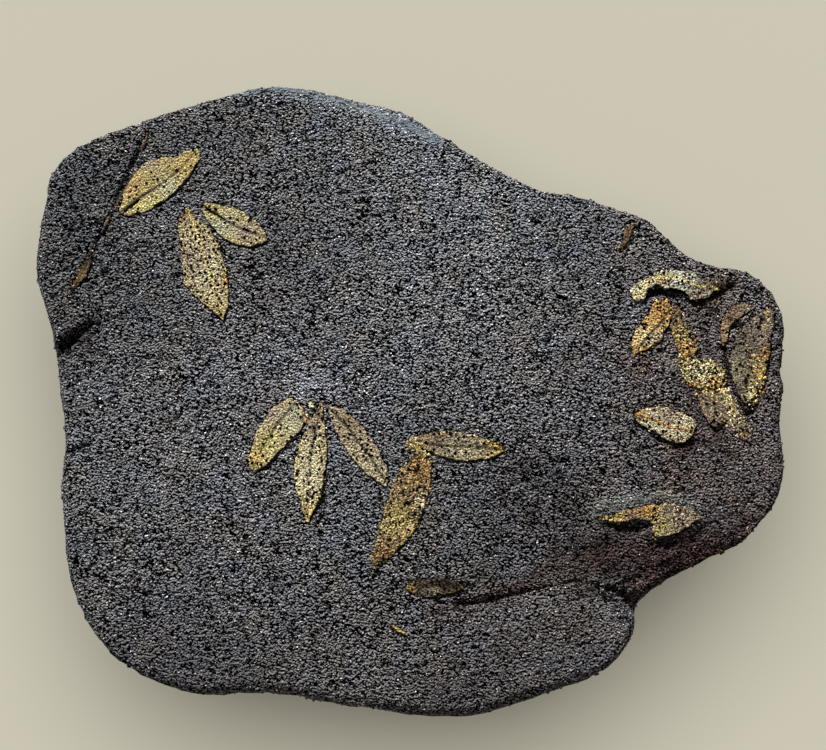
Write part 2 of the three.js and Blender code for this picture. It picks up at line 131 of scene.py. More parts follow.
def add_sun(name, setup, lit):
    """A distant lamp that lights only the pieces in one collection."""
    data = bpy.data.lights.new(name, "SUN")
    data.energy = setup["strength"]
    data.angle = math.radians(setup["angle"])
    data.color = LIGHT_COLOR
    lamp = new_object(name, data)
    elevation, azimuth = math.radians(setup["elevation"]), math.radians(setup["azimuth"])
    level = math.cos(elevation)
    towards = Vector((level * math.cos(azimuth), level * math.sin(azimuth), math.sin(elevation)))
    lamp.rotation_euler = towards.to_track_quat("Z", "Y").to_euler()
    lamp.light_linking.receiver_collection = lit


def add_floor():
    half = FLOOR_SIDE / 2
    mesh = bpy.data.meshes.new("floor")
    corners = [(-half, -half, 0), (half, -half, 0), (half, half, 0), (-half, half, 0)]
    mesh.from_pydata(corners, [], [(0, 1, 2, 3)])
    floor = new_object("floor", mesh)
    look = {"Base Color": FLOOR_COLOR, "Roughness": FLOOR_ROUGHNESS}
    mesh.materials.append(new_material("floor_cloth", look)[0])
    return floor


# ---------------------------------------------------------------- seeded noise


def lattice_values(x, y, z, seed):
    """Repeatable numbers from 0 to 1 at whole-number places."""
    mixed = (x * 374761393 + y * 668265263 + z * 1440662683 + seed * 1274126177) & 0xFFFFFFFF
    mixed = ((mixed ^ (mixed >> 13)) * 1274126177) & 0xFFFFFFFF
    mixed = ((mixed ^ (mixed >> 15)) * 668265263) & 0xFFFFFFFF
    return ((mixed ^ (mixed >> 16)) & 0xFFFF) / 65535.0


def noise(points, wavelength, seed):
    """Smooth noise from -1 to 1 at each row of points."""
    scaled = points / wavelength
    cell = np.floor(scaled).astype(np.int64)
    part = scaled - cell
    part = part * part * (3 - 2 * part)
    total = np.zeros(len(points))
    for corner in np.ndindex(2, 2, 2):
        weight = np.prod(np.where(corner, part, 1 - part), axis=1)
        total += weight * lattice_values(*(cell + corner).T, seed)
    return 2 * total - 1


def layered_noise(points, wavelength, octaves, seed):
    """Noise in layers, each half as wide and half as strong as the one before.

    Flat points are taken to lie at height 0.
    """
    if points.shape[1] == 2:
        points = np.column_stack([points, np.zeros(len(points))])
    total = np.zeros(len(points))
    for octave in range(octaves):
        total += noise(points, wavelength / 2**octave, seed + octave) / 2**octave
    return total


class Waves(NamedTuple):
    """Layered noise of a given height."""

    height: float
    wavelength: float
    octaves: int
    seed: int

    def at(self, points, own_seed=0):
        return self.height * layered_noise(points, self.wavelength, self.octaves, self.seed + own_seed)


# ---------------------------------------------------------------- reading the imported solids


def rows_of(items, attribute):
    """One attribute of many Blender items, as rows of three numbers."""
    values = np.empty(len(items) * 3, np.float32)
    items.foreach_get(attribute, values)
    return values.reshape(-1, 3)


def vertex_places(mesh):
    return rows_of(mesh.vertices, "co").astype(float) / MM


def vertex_normals(mesh):
    return rows_of(mesh.vertex_normals, "vector").astype(float)


def node_mesh(name):
    """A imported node's vertices and faces, with shared corners merged."""
    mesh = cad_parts[name].data
    merged, where = np.unique(np.round(vertex_places(mesh), 3), axis=0, return_inverse=True)
    where = where.reshape(-1)
    faces = [[int(where[v]) for v in face.vertices] for face in mesh.polygons]
    return merged, [face for face in faces if len(set(face)) == len(face)]


def tree_from(vertices, faces):
    """A search tree for dropping rays on faces, in millimetres."""
    return BVHTree.FromPolygons([Vector(v) for v in vertices], faces)


def tree_of(names):
    """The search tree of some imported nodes."""
    vertices, faces, start = [], [], 0
    for name in names:
        part, corners = node_mesh(name)
        vertices.append(part)
        faces += [[v + start for v in face] for face in corners]
        start += len(part)
    return tree_from(np.vstack(vertices), faces)


ABOVE = 80.0  # rays start here and go straight down
DOWN = Vector((0, 0, -1))
NO_HIT = -1.0


def drop(tree, places):
    """The height that a ray dropped at each place hits, or NO_HIT."""
    hits = [tree.ray_cast(Vector((x, y, ABOVE)), DOWN)[0] for x, y in places]
    return np.array([NO_HIT if hit is None else hit.z for hit in hits])


CROSS = np.array([(0, 0), (1, 0), (0, 1), (-1, 0), (0, -1)], float)


def drops_near(tree, places, reach):
    """The heights that rays hit at each place and at four places round it."""
    return [drop(tree, places + step * reach) for step in CROSS]


def highest_near(tree, places, reach):
    return np.max(drops_near(tree, places, reach), axis=0)


def lowest_near(tree, places, reach):
    return np.min(drops_near(tree, places, reach), axis=0)


def distance_to_path(places, path):
    """How far each place is from a line through the path's points, or from its only point."""
    nearest = np.full(len(places), np.inf)
    ends = path[1:] if len(path) > 1 else path
    for start, end in zip(path, ends):
        start, end = np.array(start, float), np.array(end, float)
        along = end - start
        part = np.clip((places - start) @ along / max(along @ along, 1e-9), 0, 1)
        gap = np.linalg.norm(places - start - part[:, None] * along, axis=1)
        nearest = np.minimum(nearest, gap)
    return nearest


def near(places, path, reach):
    """1 on a path, fading softly to almost 0 at twice its reach."""
    away = distance_to_path(places, path) / reach
    return np.exp(-away * away)


def closed(loop):
    return np.vstack([loop, loop[:1]])


def inside(places, loop):
    """Whether each place is inside a closed loop of points."""
    result = np.zeros(len(places), bool)
    x, y = places.T
    for (ax, ay), (bx, by) in zip(loop, np.roll(loop, -1, axis=0)):
        if ay != by:
            result ^= ((ay > y) != (by > y)) & (x < (bx - ax) * (y - ay) / (by - ay) + ax)
    return result


def travelled(line):
    """How far along a line each of its points is."""
    return np.concatenate([[0], np.cumsum(np.linalg.norm(np.diff(line, axis=0), axis=1))])


def points_at(line, marks, stops):
    """The places of some stops on a line whose points are at these marks."""
    return np.column_stack([np.interp(stops, marks, line[:, axis]) for axis in (0, 1)])


def jittered_lattice(low, high, step, jitter, random):
    """Places on a triangular lattice over a box, each moved a little."""
    row_step = step * math.sqrt(3) / 2
    rows = int((high[1] - low[1]) / row_step) + 2
    columns = int((high[0] - low[0]) / step) + 2
    row, column = np.meshgrid(np.arange(rows), np.arange(columns), indexing="ij")
    x = low[0] + (column + 0.5 * (row % 2)) * step
    y = low[1] + row * row_step
    places = np.stack([x.ravel(), y.ravel()], axis=1)
    return places + random.uniform(-jitter, jitter, places.shape) * step


# ---------------------------------------------------------------- pieces


def linear(color):
    """A display colour, 0 to 255, as scene-linear numbers."""
    value = np.asarray(color, float) / 255
    return np.where(value <= 0.04045, value / 12.92, ((value + 0.055) / 1.055) ** 2.4)


OBJECT_GROUP = bpy.data.collections.new("object_group")  # the pieces that the key light lights


def add_piece(name, mesh, material, replaced=None):
    mesh.materials.append(material)
    piece = new_object(name, mesh)
    OBJECT_GROUP.objects.link(piece)
    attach(piece, BODY)
    if replaced:
        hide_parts(replaced)


def paint(mesh, colors):
    layer = mesh.color_attributes.new("tint", "FLOAT_COLOR", "POINT")
    full = np.ones((len(colors), 4), np.float32)
    full[:, : colors.shape[1]] = colors
    layer.data.foreach_set("color", full.ravel())


def mesh_from(name, vertices, faces, colors):
    """A mesh in metres from millimetre vertices, with a colour at each vertex."""
    mesh = bpy.data.meshes.new(name)
    mesh.from_pydata(np.asarray(vertices, float) * MM, [], faces)
    paint(mesh, colors)
    mesh.update()
    return mesh


# ---------------------------------------------------------------- materials


class Look:
    """A material being put together: its colour so far, and the places and openness that steer it."""

    def __init__(self, name, roughness, specular):
        values = {"Roughness": roughness, "Specular IOR Level": specular}
        self.material, self.shader = new_material(name, values)
        self.tree = self.material.node_tree
        tint = self.tree.nodes.new("ShaderNodeVertexColor")
        tint.layer_name = "tint"
        self.color, self.alpha = tint.outputs["Color"], tint.outputs["Alpha"]
        self.places = self.add("TexCoord", "Object", {})

    def add(self, kind, output, sockets, **settings):
        """A new node's output. Each socket gets a value, or is fed by another node's output."""
        node = self.tree.nodes.new("ShaderNode" + kind)
        for name, value in settings.items():
            setattr(node, name, value)
        for name, value in sockets.items():
            if isinstance(value, bpy.types.NodeSocket):
                self.tree.links.new(value, node.inputs[name])
            else:
                node.inputs[name].default_value = value
        return node.outputs[output]

    def noise(self, wavelength, detail, places=None):
        sockets = {"Vector": places or self.places, "Scale": 1 / (wavelength * MM), "Detail": detail}
        return self.add("TexNoise", "Fac", sockets)

    def stretched(self, turn, times):
        """Places in turned axes and squeezed along the first, so that what they draw is long that way."""
        sockets = {"Vector": self.places, "Rotation": (0, 0, math.radians(turn)), "Scale": (times, 1, 1)}
        return self.add("Mapping", "Vector", sockets, vector_type="TEXTURE")

    def painted_lump_shading(self, wavelength, shift):
        """Painted shading of lumps, as if lit by raking light: the noise less itself a little way off."""
        moved = {0: self.places, 1: [length * MM for length in shift]}
        aside = self.add("VectorMath", "Vector", moved, operation="ADD")
        behind = self.noise(wavelength, LUMP_DETAIL, aside)
        return self.math("SUBTRACT", self.noise(wavelength, LUMP_DETAIL), behind)

    def math(self, operation, one, other):
        return self.add("Math", "Value", {0: one, 1: other}, operation=operation)

    def ranged(self, source, low, high, to_low, to_high):
        ends = {"From Min": low, "From Max": high, "To Min": to_low, "To Max": to_high}
        return self.add("MapRange", "Result", {"Value": source, **ends})

    def multiply(self, source, *ends):
        """Multiplies the colour by a number that is brought into a range."""
        factor = self.ranged(source, *ends)
        self.color = self.add("VectorMath", "Vector", {0: self.color, "Scale": factor}, operation="SCALE")

    def roughen(self, source, *ends):
        self.tree.links.new(self.ranged(source, *ends), self.shader.inputs["Roughness"])

    def finished(self, relief, distance, strength):
        """The material, with its colour and a bump."""
        sockets = {"Height": relief, "Distance": distance * MM, "Strength": strength}
        self.tree.links.new(self.color, self.shader.inputs["Base Color"])
        self.tree.links.new(self.add("Bump", "Normal", sockets), self.shader.inputs["Normal"])
        return self.material


# Noise ranges read: from low, from high, to low, to high.
LUMP_DETAIL = 3
# painted shade: the colour goes black in the pits, which are small and wider than tall
ASH_PITS = {"wavelength": 0.65, "turn": -20, "times": 1.5, "filling": 0.09, "range": (0.462, 0.466, 0, 1)}
PIT_CLUSTERS = {"wavelength": 3.6, "range": (0.35, 0.65, -0.028, 0.028)}
ASH_GRIT = {"wavelength": 0.42, "range": (0.42, 0.60, 0.9, 1.1)}
# painted shading: each lump is lighter on its side towards the far key light and darker on the other
ASH_LUMP_SHADING = {"wavelength": 0.60, "shift": (-0.06, 0.29, 0), "range": (-0.032, 0.052, 0.0, 2.6)}
# painted glints: small bright points in the ash's colour
ASH_GLINTS = {"wavelength": 0.5, "range": (0.74, 0.76, 1.0, 4.0)}
STONE_DRIFT = {"wavelength": 6, "range": (0.3, 0.7, 0.9, 1.1)}
# painted shading of the films' fine lumps, as for the ash
FILM_LUMP_SHADING = {"wavelength": 0.58, "shift": (-0.06, 0.30, 0), "range": (-0.06, 0.06, 0.35, 1.65)}
FILM_PITS = {"wavelength": 0.58, "range": (0.395, 0.42, 0.01, 1.0), "filling": (0.075, -0.14)}
FILM_BLOTCHES = {"wavelength": 2.2, "range": (0.3, 0.7, 0.92, 1.08)}


def add_ash_texture(look):
    """The ash's mottled colour, with painted shading of fine lumps as if lit from the far side, painted
    glints, and small pits painted black with shade, wider than tall.

    The vertex colour's alpha says how open the ash is: 0 is smooth and even, and 1 is rough and pitted.
    """
    grit = look.noise(ASH_GRIT["wavelength"], 1)
    lump_shading = look.painted_lump_shading(ASH_LUMP_SHADING["wavelength"], ASH_LUMP_SHADING["shift"])
    pits = look.noise(ASH_PITS["wavelength"], 2, look.stretched(ASH_PITS["turn"], ASH_PITS["times"]))
    clusters = look.ranged(look.noise(PIT_CLUSTERS["wavelength"], 2), *PIT_CLUSTERS["range"])
    filling = look.ranged(look.alpha, 0, 1, ASH_PITS["filling"], 0)
    look.multiply(grit, *ASH_GRIT["range"])
    look.multiply(look.math("MULTIPLY", lump_shading, look.alpha), *ASH_LUMP_SHADING["range"])
    look.multiply(look.noise(ASH_GLINTS["wavelength"], 0), *ASH_GLINTS["range"])
    look.multiply(look.math("ADD", look.math("ADD", pits, clusters), filling), *ASH_PITS["range"])
    return pits, grit


def stone_material():
    """Fine-grained ash: mottled at a few scales, with painted lump shading, glints and pit shade, and a
    gritty bump.
    """
    look = Look("ash_stone", 0.95, 0.02)
    pits, _ = add_ash_texture(look)
    look.multiply(look.noise(STONE_DRIFT["wavelength"], 3), *STONE_DRIFT["range"])
    return look.finished(pits, 0.8, 1.0)


def grain_material():
    """Single ash grains: each has its own tint, with the ash's painted lump shading, glints and pit shade,
    and some are rougher than others.
    """
    look = Look("ash_grain", 0.8, 0.04)
    _, grit = add_ash_texture(look)
    look.roughen(grit, 0.3, 0.7, 0.6, 0.95)
    return look.finished(grit, 0.25, 0.8)


def crumb_material():
    """Flakes of leaf film: each has its own tint, with a little mottling."""
    look = Look("film_crumb", 0.7, 0.2)
    grit = look.noise(0.4, 1)
    look.multiply(grit, 0.38, 0.62, 0.4, 1.8)
    look.roughen(grit, 0.3, 0.7, 0.6, 0.85)
    return look.finished(grit, 0.2, 0.8)


def film_material(name, roughness, mottle):
    """A leaf film: papery, with fine mottling, painted shading of fine lumps, dark pits and a fine leathery
    bump.

    The vertex colour's alpha says how pitted the film is, from 0 to 1.
    """
    look = Look(name, roughness, 0.2)
    fine = look.noise(0.42, 1)
    blotches = look.noise(FILM_BLOTCHES["wavelength"], 2)
    look.multiply(fine, 0.40, 0.62, 1 - mottle, 1 + mottle)
    look.multiply(look.painted_lump_shading(FILM_LUMP_SHADING["wavelength"], FILM_LUMP_SHADING["shift"]), *FILM_LUMP_SHADING["range"])
    look.multiply(blotches, *FILM_BLOTCHES["range"])
    depth = look.ranged(look.alpha, 0, 1, *FILM_PITS["filling"])
    look.multiply(look.math("ADD", look.noise(FILM_PITS["wavelength"], 1), depth), *FILM_PITS["range"])
    look.roughen(blotches, 0.3, 0.7, roughness - 0.12, roughness + 0.1)
    return look.finished(fine, 0.22, 0.8)


# ---------------------------------------------------------------- the stone's tints

ASH = np.array([0.113, 0.113, 0.118])
BROAD_DRIFT = Waves(0.10, 26, 3, 900)  # how much lighter or darker the ash is over wide areas
HUE_DRIFT = np.array([0.058, 0.010, -0.070])  # the ash is a little warmer here and bluer there
HUE_WAVES = Waves(1, 7, 3, 950)
PAINTED_HOLLOW_SHADE = np.array([0.92, 0.98, 1.0])  # the painted shade at the foot of a hollow is a little brown

# Soft changes of the ash's tint, partly painted light and shade, each round a point or along a line: its
# reach, its multiplier, the line.
TINTS_AND_SHADES = [
    # Broad ones: lighter over the middle and darker towards the rims, partly painted light and shade.
    (52, (1.26, 1.27, 1.28), [(5, 30)]),
    (40, (1.06, 1.06, 1.07), [(-60, 10)]),
    (44, (0.86, 0.745, 0.715), [(98, -15)]),
    (24, (1.04, 0.98, 0.94), [(95, 35)]),
    (44, (0.74, 0.69, 0.67), [(30, -88)]),
    (40, (0.81, 0.79, 0.79), [(-60, -85)]),
    (15, (0.84, 0.81, 0.79), [(49, -68)]),
    (15, (0.8, 0.75, 0.74), [(80, -32)]),
    (12, (1.1, 1.09, 1.08), [(56, 57)]),
    (16, (0.8, 0.8, 0.81), [(20, -37)]),
    (12, (0.82, 0.83, 0.84), [(-2, -8)]),
    (12, (0.76, 0.74, 0.72), [(12, -94)]),
    (17, (1.16, 1.18, 1.19), [(-22, 90), (8, 68), (30, 60)]),
    (22, (0.7, 0.71, 0.72), [(-98, 52), (-101, 24)]),
    (17, (0.78, 0.77, 0.78), [(-41, 46), (-38, 34)]),
    (11, (1.16, 1.16, 1.19), [(-32, -2), (-20, -4)]),
    (20, (1.1, 1.1, 1.11), [(-80, -46)]),
    (13, (0.78, 0.76, 0.77), [(-78, -80), (-55, -90)]),
    # Painted shade over the ground between leaf_middle_level and leaf_broken.
    (9, (0.76, 0.75, 0.75), [(32, -25), (40, -28), (48, -33)]),
    (9, (0.68, 0.67, 0.67), [(29, -40), (38, -40), (48, -44)]),
    # Brownish painted shade below leaf_broken and on the rim beside it; a brown stain with painted shade
    # along the crease.
    (7, (0.68, 0.61, 0.6), [(44, -54.5), (54, -52)]),
    (9, (0.52, 0.41, 0.39), [(60, -50), (74, -51.5), (86, -49)]),
    (5, (0.82, 0.64, 0.58), [(68, -60), (80, -54.5), (92, -49.5), (100, -44)]),
    (2.8, (0.66, 0.56, 0.54), [(7, -68.5), (16.5, -65.6), (27.5, -62.4), (38.4, -57.7)]),
    # Small spots: brownish painted shade by leaves and the gash, and a painted highlight above the trio.
    (6, (0.86, 0.72, 0.68), [(69, 6)]),
    (5, (0.7, 0.58, 0.55), [(90, 28)]),
    (6, (0.72, 0.6, 0.56), [(83, -18)]),
    (6, (1.12, 1.12, 1.16), [(-32, 1)]),
    (6, (0.72, 0.68, 0.7), [(-100, 14)]),
]

# The smooth bevel of the far rim, painted pale as lit by the key light.
BEVEL_WIDTH = 3.0
BEVEL_BARE = 0.75  # the part of its grains that is left out
BEVEL_PATH = [
    (-54, 96.5), (-46, 97), (-37, 96), (-28.5, 94.5), (-20, 92), (-11.5, 89.3), (-5, 86.5), (1, 83),
    (8, 79.5),
]

# The ridge above leaf_broken.
BROKEN_RIDGE = [
    (55.7, -40), (57.5, -37.6), (61.4, -36.1), (67.4, -34.9), (73.3, -34), (79.5, -34.9), (84.4, -36.7),
]

# Paler ash along the tops of ridges, partly painted light on their tops, and painted light on the bevel:
# its half width, its multiplier, the line and how smooth it is.
PALE_AND_LIT_RIDGES = [
    (2.5, (1.45, 1.64, 1.54), BROKEN_RIDGE, 0.8),
    (2.5, (1.35, 1.38, 1.45), [(-33, 0), (-30, 2), (-26, 0)], 0.6),
    (0.9, (1.6, 1.5, 1.35), [(97, 21.5), (101, 20), (104, 22)], 0.4),
    (BEVEL_WIDTH, (1.15, 1.27, 1.33), BEVEL_PATH, 0.9),
]


def ash_tint_and_shade(places):
    """The ash's colour at places on the slab, seen from above, with the painted light and shade of its
    tints, ridges and hollows.
    """
    flat = places[:, :2]
    tint = np.tile(ASH, (len(flat), 1))
    for reach, times, path, *_ in [*TINTS_AND_SHADES, *PALE_AND_LIT_RIDGES]:
        tint = tint * (1 + near(flat, path, reach)[:, None] * (np.array(times) - 1))
    drift = 1 + BROAD_DRIFT.at(places)
    warmth = HUE_WAVES.at(places)[:, None] * HUE_DRIFT
    return tint * drift[:, None] * (1 + warmth) * form_shade(flat)


# Where the ash is calmer, with finer pits: its reach, how smooth it is and the point or line it lies round.
CALM = [
    (38, 0.3, [(100, -28)]),
    (10, 0.55, [(54, -53), (74, -51), (96, -42)]),
    (26, 0.5, [(42, -88), (56, -74)]),
    (16, 0.38, [(-70, -84), (-30, -94), (10, -98)]),
    (45, 0.12, [(-85, -25)]),
]
SIDE_CALM = {"below": 48.0, "fade": 10.0, "smooth": 0.42}  # the broken sides are smoother than the face


def openness(places):
    """How rough the ash is at each place: 1 where it is open and near 0 where it is smooth."""
    smooth = SIDE_CALM["smooth"] * np.clip((SIDE_CALM["below"] - places[:, 2]) / SIDE_CALM["fade"], 0, 1)
    ridges = [(width, calm, path) for width, _, path, calm in PALE_AND_LIT_RIDGES]
    for reach, calm, path in [*CALM, *ridges]:
        smooth = np.maximum(smooth, calm * near(places[:, :2], path, reach))
    return 1 - smooth


# ---------------------------------------------------------------- the stone's body

VOXEL = 2.1
FACE_CUTS = 2  # each net square of the face is cut this often along each side
FACE_LEVEL = 44.0  # everything that faces up above this height is the leaf-bearing face
FACE_UP = 0.45  # how far up, of 1, a normal of the face points
BASE_DOWN = -0.7
BASE_LEVEL = 3
BED_REACH = 0.4
FACE_LUMPS = Waves(0.15, 5.0, 2, 11)
FACE_GRIT = Waves(0.15, 1.5, 2, 21)
FACE_SINK = 0.2  # the body's face lies this far down, under its grains
FACE_PITS = {"size": (1.7, 0.9, 0.9), "below": -0.5, "fade": 0.25, "depth": 0.8, "seed": 61}
BASE_SHADE = 0.9  # painted shade: the body, down between its grains, is a little darker than them
# The films' edges that face away from the light curl up.
FREE_EDGE = {"towards": np.array([0.55, -0.83]), "lift": 0.25, "reach": 0.9}
EDGE_GAP = 0.6  # how wide the open gap is beside a film's edge that faces away from the light
GAP_WAVES = Waves(1, 4.5, 2, 71)
GAP_OPEN = -0.15  # the gap is open where these waves are above this
GAP_DEPTH = 0.6
# painted shade in that open gap
GAP_SHADE = 0.4
SIDE_LUMPS = Waves(1.6, 22.0, 3, 31)
SIDE_GRIT = Waves(0.45, 3.2, 3, 41)
SIDE_FACETS = [(24.0, 0.24, 2.2, 600), (9.0, 0.24, 0.8, 620)]  # size, tilt, step and seed
FACETS_BELOW = (48, 10)  # they fade in below this height, over this length
FACET_BULGE = 0.2
RIM_CHIPS = Waves(0.4, 4.5, 2, 45)
CHIPS_ABOVE = 46.0
CHIP_BULGE = 0.1
BASE_HOLLOWS = Waves(1.2, 18.0, 3, 51)
FACE_BLEND = (0.2, 0.5)  # the sides become the face from this slope of the normal, over this much of it
FOOT_FADE = 5  # the sides' relief grows over this height
RIM_FADE = (56, 22)  # and fades again up to this height, over this length
RIM_RELIEF = 0.1  # the part of it that is left there

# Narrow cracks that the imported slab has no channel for: width, depth and line.
CRACKS = [
    (0.6, 0.9, [(-80.5, 83), (-84.5, 73.5), (-89.5, 60), (-93.5, 49)]),
    (0.7, 1.0, [(-93.5, 49), (-96.5, 42), (-102, 30.5)]),
    (0.9, 1.6, [(-102, -20.5), (-99, -20), (-95, -18.5)]),
    (0.7, 1.2, [(-24, -28), (-26.5, -38)]),
    (0.5, 0.8, [(-64, 76.5), (-57, 75)]),
]

# Ridges (rise above zero), grooves and hollows (below) that shape the face beside the leaves.
# Each is a soft-sided band round a line: its half width, how far it rises, how much painted shade
# darkens its foot if it is a hollow, and the line.
FORMS = [
    # The ridge above leaf_broken and the hollows under it.
    (1.8, 0.5, 0, BROKEN_RIDGE),
    (1.0, -1.0, 0.8, [(57.2, -42.3), (61.6, -43.1), (66.9, -43.4), (70.3, -43.3)]),
    (1.5, -0.8, 0.55, [(71.3, -47.5), (76, -49), (81.1, -47.8), (86, -44)]),
    # The rim below it rolls down, and the ground above the crease dips.
    (6.5, -2.0, 0.1, [(58, -62), (67.5, -60.4), (79.5, -55), (92, -50), (100, -46)]),
    (5.0, -0.8, 0.1, [(36, -27), (41, -30), (47, -34)]),
    (2.4, -0.9, 0.3, [(44, -52.5), (50, -50.5), (56, -50)]),
    # Between the leaves of the crowded end.
    (0.9, -0.8, 0.5, [(88.5, 26.5), (92.5, 22), (94, 16)]),
    (0.8, -1.5, 0.95, [(95.5, 12), (95.9, 7.9), (96.9, 2.9), (98.2, -1.7), (99.5, -5.7), (101.3, -9)]),
    (0.6, -1.0, 0.8, [(101.3, -9), (103.4, -8), (105, -4.5)]),
    (0.5, -0.8, 0.75, [(109.3, 12), (108.9, 7), (107.8, 2), (106.2, -1.7)]),
    (1.2, -1.7, 0.9, [(85, 26.5), (92.5, 28), (99, 31.5)]),
    (3.0, -0.4, 0.25, [(86, 22), (90, 20), (93, 23)]),
    (1.2, -0.6, 0.5, [(89.5, 15), (90.5, 11), (92.5, 9)]),
    (0.8, 0.8, 0, [(97, 21.5), (101, 20), (104.5, 22)]),
    (0.5, -1.0, 0.85, [(98.3, 18.5), (101.5, 18.2), (105, 21.5)]),
    (1.2, -1.5, 0.9, [(72.5, 28), (77, 30.5), (84, 29.5), (88, 29)]),
    (1.0, -0.9, 0.6, [(80, 3), (85, -4), (89, -12), (95, -17.5)]),
    # Round leaf_ribbed.
    (0.9, -0.9, 0.5, [(68, -12), (73, -16), (79, -19), (86, -17.5)]),
    (0.8, -0.6, 0.35, [(66, -7.5), (74, -5.5), (82, -7), (87.5, -11), (88.5, -15)]),
    (2.4, -0.8, 0.4, [(82, -20), (88, -18), (97, -22)]),
    # The crease.
    (1.1, -0.45, 0.34, [(3.4, -69.9), (7.1, -68.5), (11.2, -67.3), (16.5, -65.6)]),
    (1.8, -0.2, 0.24, [(16.5, -65.6), (22, -63.8), (27.5, -62.4), (32.5, -60), (38.4, -57.7)]),
    (2.2, 0.7, 0, [(22, -63.2), (30, -61.2), (38, -60.2), (46, -60), (54, -60.8)]),
    (1.2, 0.6, 0, [(-4, -58.5), (8, -57.5), (18, -59.5)]),
    # The gash at the left rim.
    (1.5, -2.2, 0.95, [(-106, 10), (-102, 13.5)]),
    (0.8, -2.0, 0.95, [(-103, 12.8), (-98, 16.5), (-94, 19)]),
    (1.3, -0.5, 0.45, [(-94, 16.5), (-98, 13.3), (-103.5, 9.5)]),
    (1.8, 0.6, 0, [(-106, 15), (-101, 18.5), (-96, 22)]),
    # By the twigs and the trio.
    (0.4, -0.6, 0.85, [(-81, 82.5), (-83, 77.8), (-85, 73.5), (-86.8, 69), (-89.2, 63), (-91.5, 56)]),
    (0.4, -0.6, 0.85, [(-92, 54), (-94, 49.5), (-95.4, 45.5), (-97.3, 41), (-99.5, 37), (-103, 30)]),
    (0.8, -1.2, 0.6, [(-25, -34), (-24.5, -38), (-27, -43)]),
]
FORM_WANDER = Waves(0.45, 4.0, 3, 97)  # how much a form's width changes along it
WIDTH_LIMITS = (0.4, 2)
SHADE_WIDTH = 0.8  # of the form's own


def form_widths(flat):
    """How much wider or narrower than stated the forms are at each place."""
    return np.clip(1 + FORM_WANDER.at(flat), *WIDTH_LIMITS)


def form_shade(flat):
    """Painted shade in the hollows: darker, and a little browner."""
    result = np.ones((len(flat), 3))
    widths = form_widths(flat)
    for width, rise, shade, path in FORMS:
        if rise < 0:
            depth = near(flat, path, SHADE_WIDTH * width * widths) * shade
            result *= 1 - depth[:, None] * PAINTED_HOLLOW_SHADE
    return result


def form_rise(flat):
    """How far the ridges and hollows beside the leaves raise each place."""
    widths = form_widths(flat)
    total = np.zeros(len(flat))
    for width, rise, _, path in FORMS:
        total += rise * near(flat, path, width * widths)
    return total


def remeshed_slab():
    """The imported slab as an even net, finer on its face."""
    vertices, faces = node_mesh(STONE_NODE)
    mesh = bpy.data.meshes.new("slab_net")
    mesh.from_pydata([Vector(v) * MM for v in vertices], [], faces)
    source = new_object("slab_net", mesh)
    voxels = source.modifiers.new("voxels", "REMESH")
    voxels.mode = "VOXEL"
    voxels.voxel_size = VOXEL * MM
    graph = bpy.context.evaluated_depsgraph_get()
    net = bpy.data.meshes.new_from_object(source.evaluated_get(graph), depsgraph=graph)
    bpy.data.objects.remove(source)
    shape = bmesh.new()
    shape.from_mesh(net)
    level = FACE_LEVEL * MM
    top = [face for face in shape.faces if face.normal.z > FACE_UP and face.calc_center_median().z > level]
    edges = list({edge for face in top for edge in face.edges})
    bmesh.ops.subdivide_edges(shape, edges=edges, cuts=FACE_CUTS, use_grid_fill=True)
    bmesh.ops.triangulate(shape, faces=[face for face in shape.faces if len(face.verts) > 4])
    shape.to_mesh(net)
    shape.free()
    return net


def facets(points, size, tilt, step, seed):
    """Broken-rock relief: each cell of a jittered lattice is a flat facet with its own tilt and step."""
    cell = np.floor(points / size).astype(np.int64)
    nearest = np.full(len(points), np.inf)
    relief = np.zeros(len(points))
    for offset in np.ndindex(3, 3, 3):
        corner = (cell + np.array(offset) - 1).T

        def values(first):
            return np.column_stack([lattice_values(*corner, seed + first + k) for k in range(3)])

        away = points - (corner.T + values(0)) * size
        distance = np.linalg.norm(away, axis=1)
        own_step = step * (2 * lattice_values(*corner, seed + 6) - 1)
        height = 2 * tilt * np.sum(away * (values(3) - 0.5), axis=1) + own_step
        relief = np.where(distance < nearest, height, relief)
        nearest = np.minimum(nearest, distance)
    return relief


def set_places(mesh, places):
    mesh.vertices.foreach_set("co", (places * MM).astype(np.float32).ravel())
    mesh.update()


def relax(mesh, places, amount, rounds):
    """Moves each vertex towards the middle of its neighbours."""
    edges = np.empty(len(mesh.edges) * 2, np.int32)
    mesh.edges.foreach_get("vertices", edges)
    a, b = edges.reshape(-1, 2).T
    count = np.bincount(a, minlength=len(places)) + np.bincount(b, minlength=len(places))
    for _ in range(rounds):
        total = np.zeros_like(places)
        for axis in range(3):
            total[:, axis] = np.bincount(a, places[b, axis], len(places))
            total[:, axis] += np.bincount(b, places[a, axis], len(places))
        places = places + amount * (total / count[:, None] - places)
    return places


def pit_depth(places):
    """How far the pits of the face reach down at each place."""
    below = FACE_PITS["below"] - noise(places / FACE_PITS["size"], 1.0, FACE_PITS["seed"])
    return FACE_PITS["depth"] * np.clip(below / FACE_PITS["fade"], 0, 1)


def in_gap(film_tree, flat):
    """Whether each place lies in the open gap beside a film's free edge."""
    beside = drop(film_tree, flat - FREE_EDGE["towards"] * EDGE_GAP) != NO_HIT
    return beside & (GAP_WAVES.at(flat) > GAP_OPEN) & (drop(film_tree, flat) == NO_HIT)


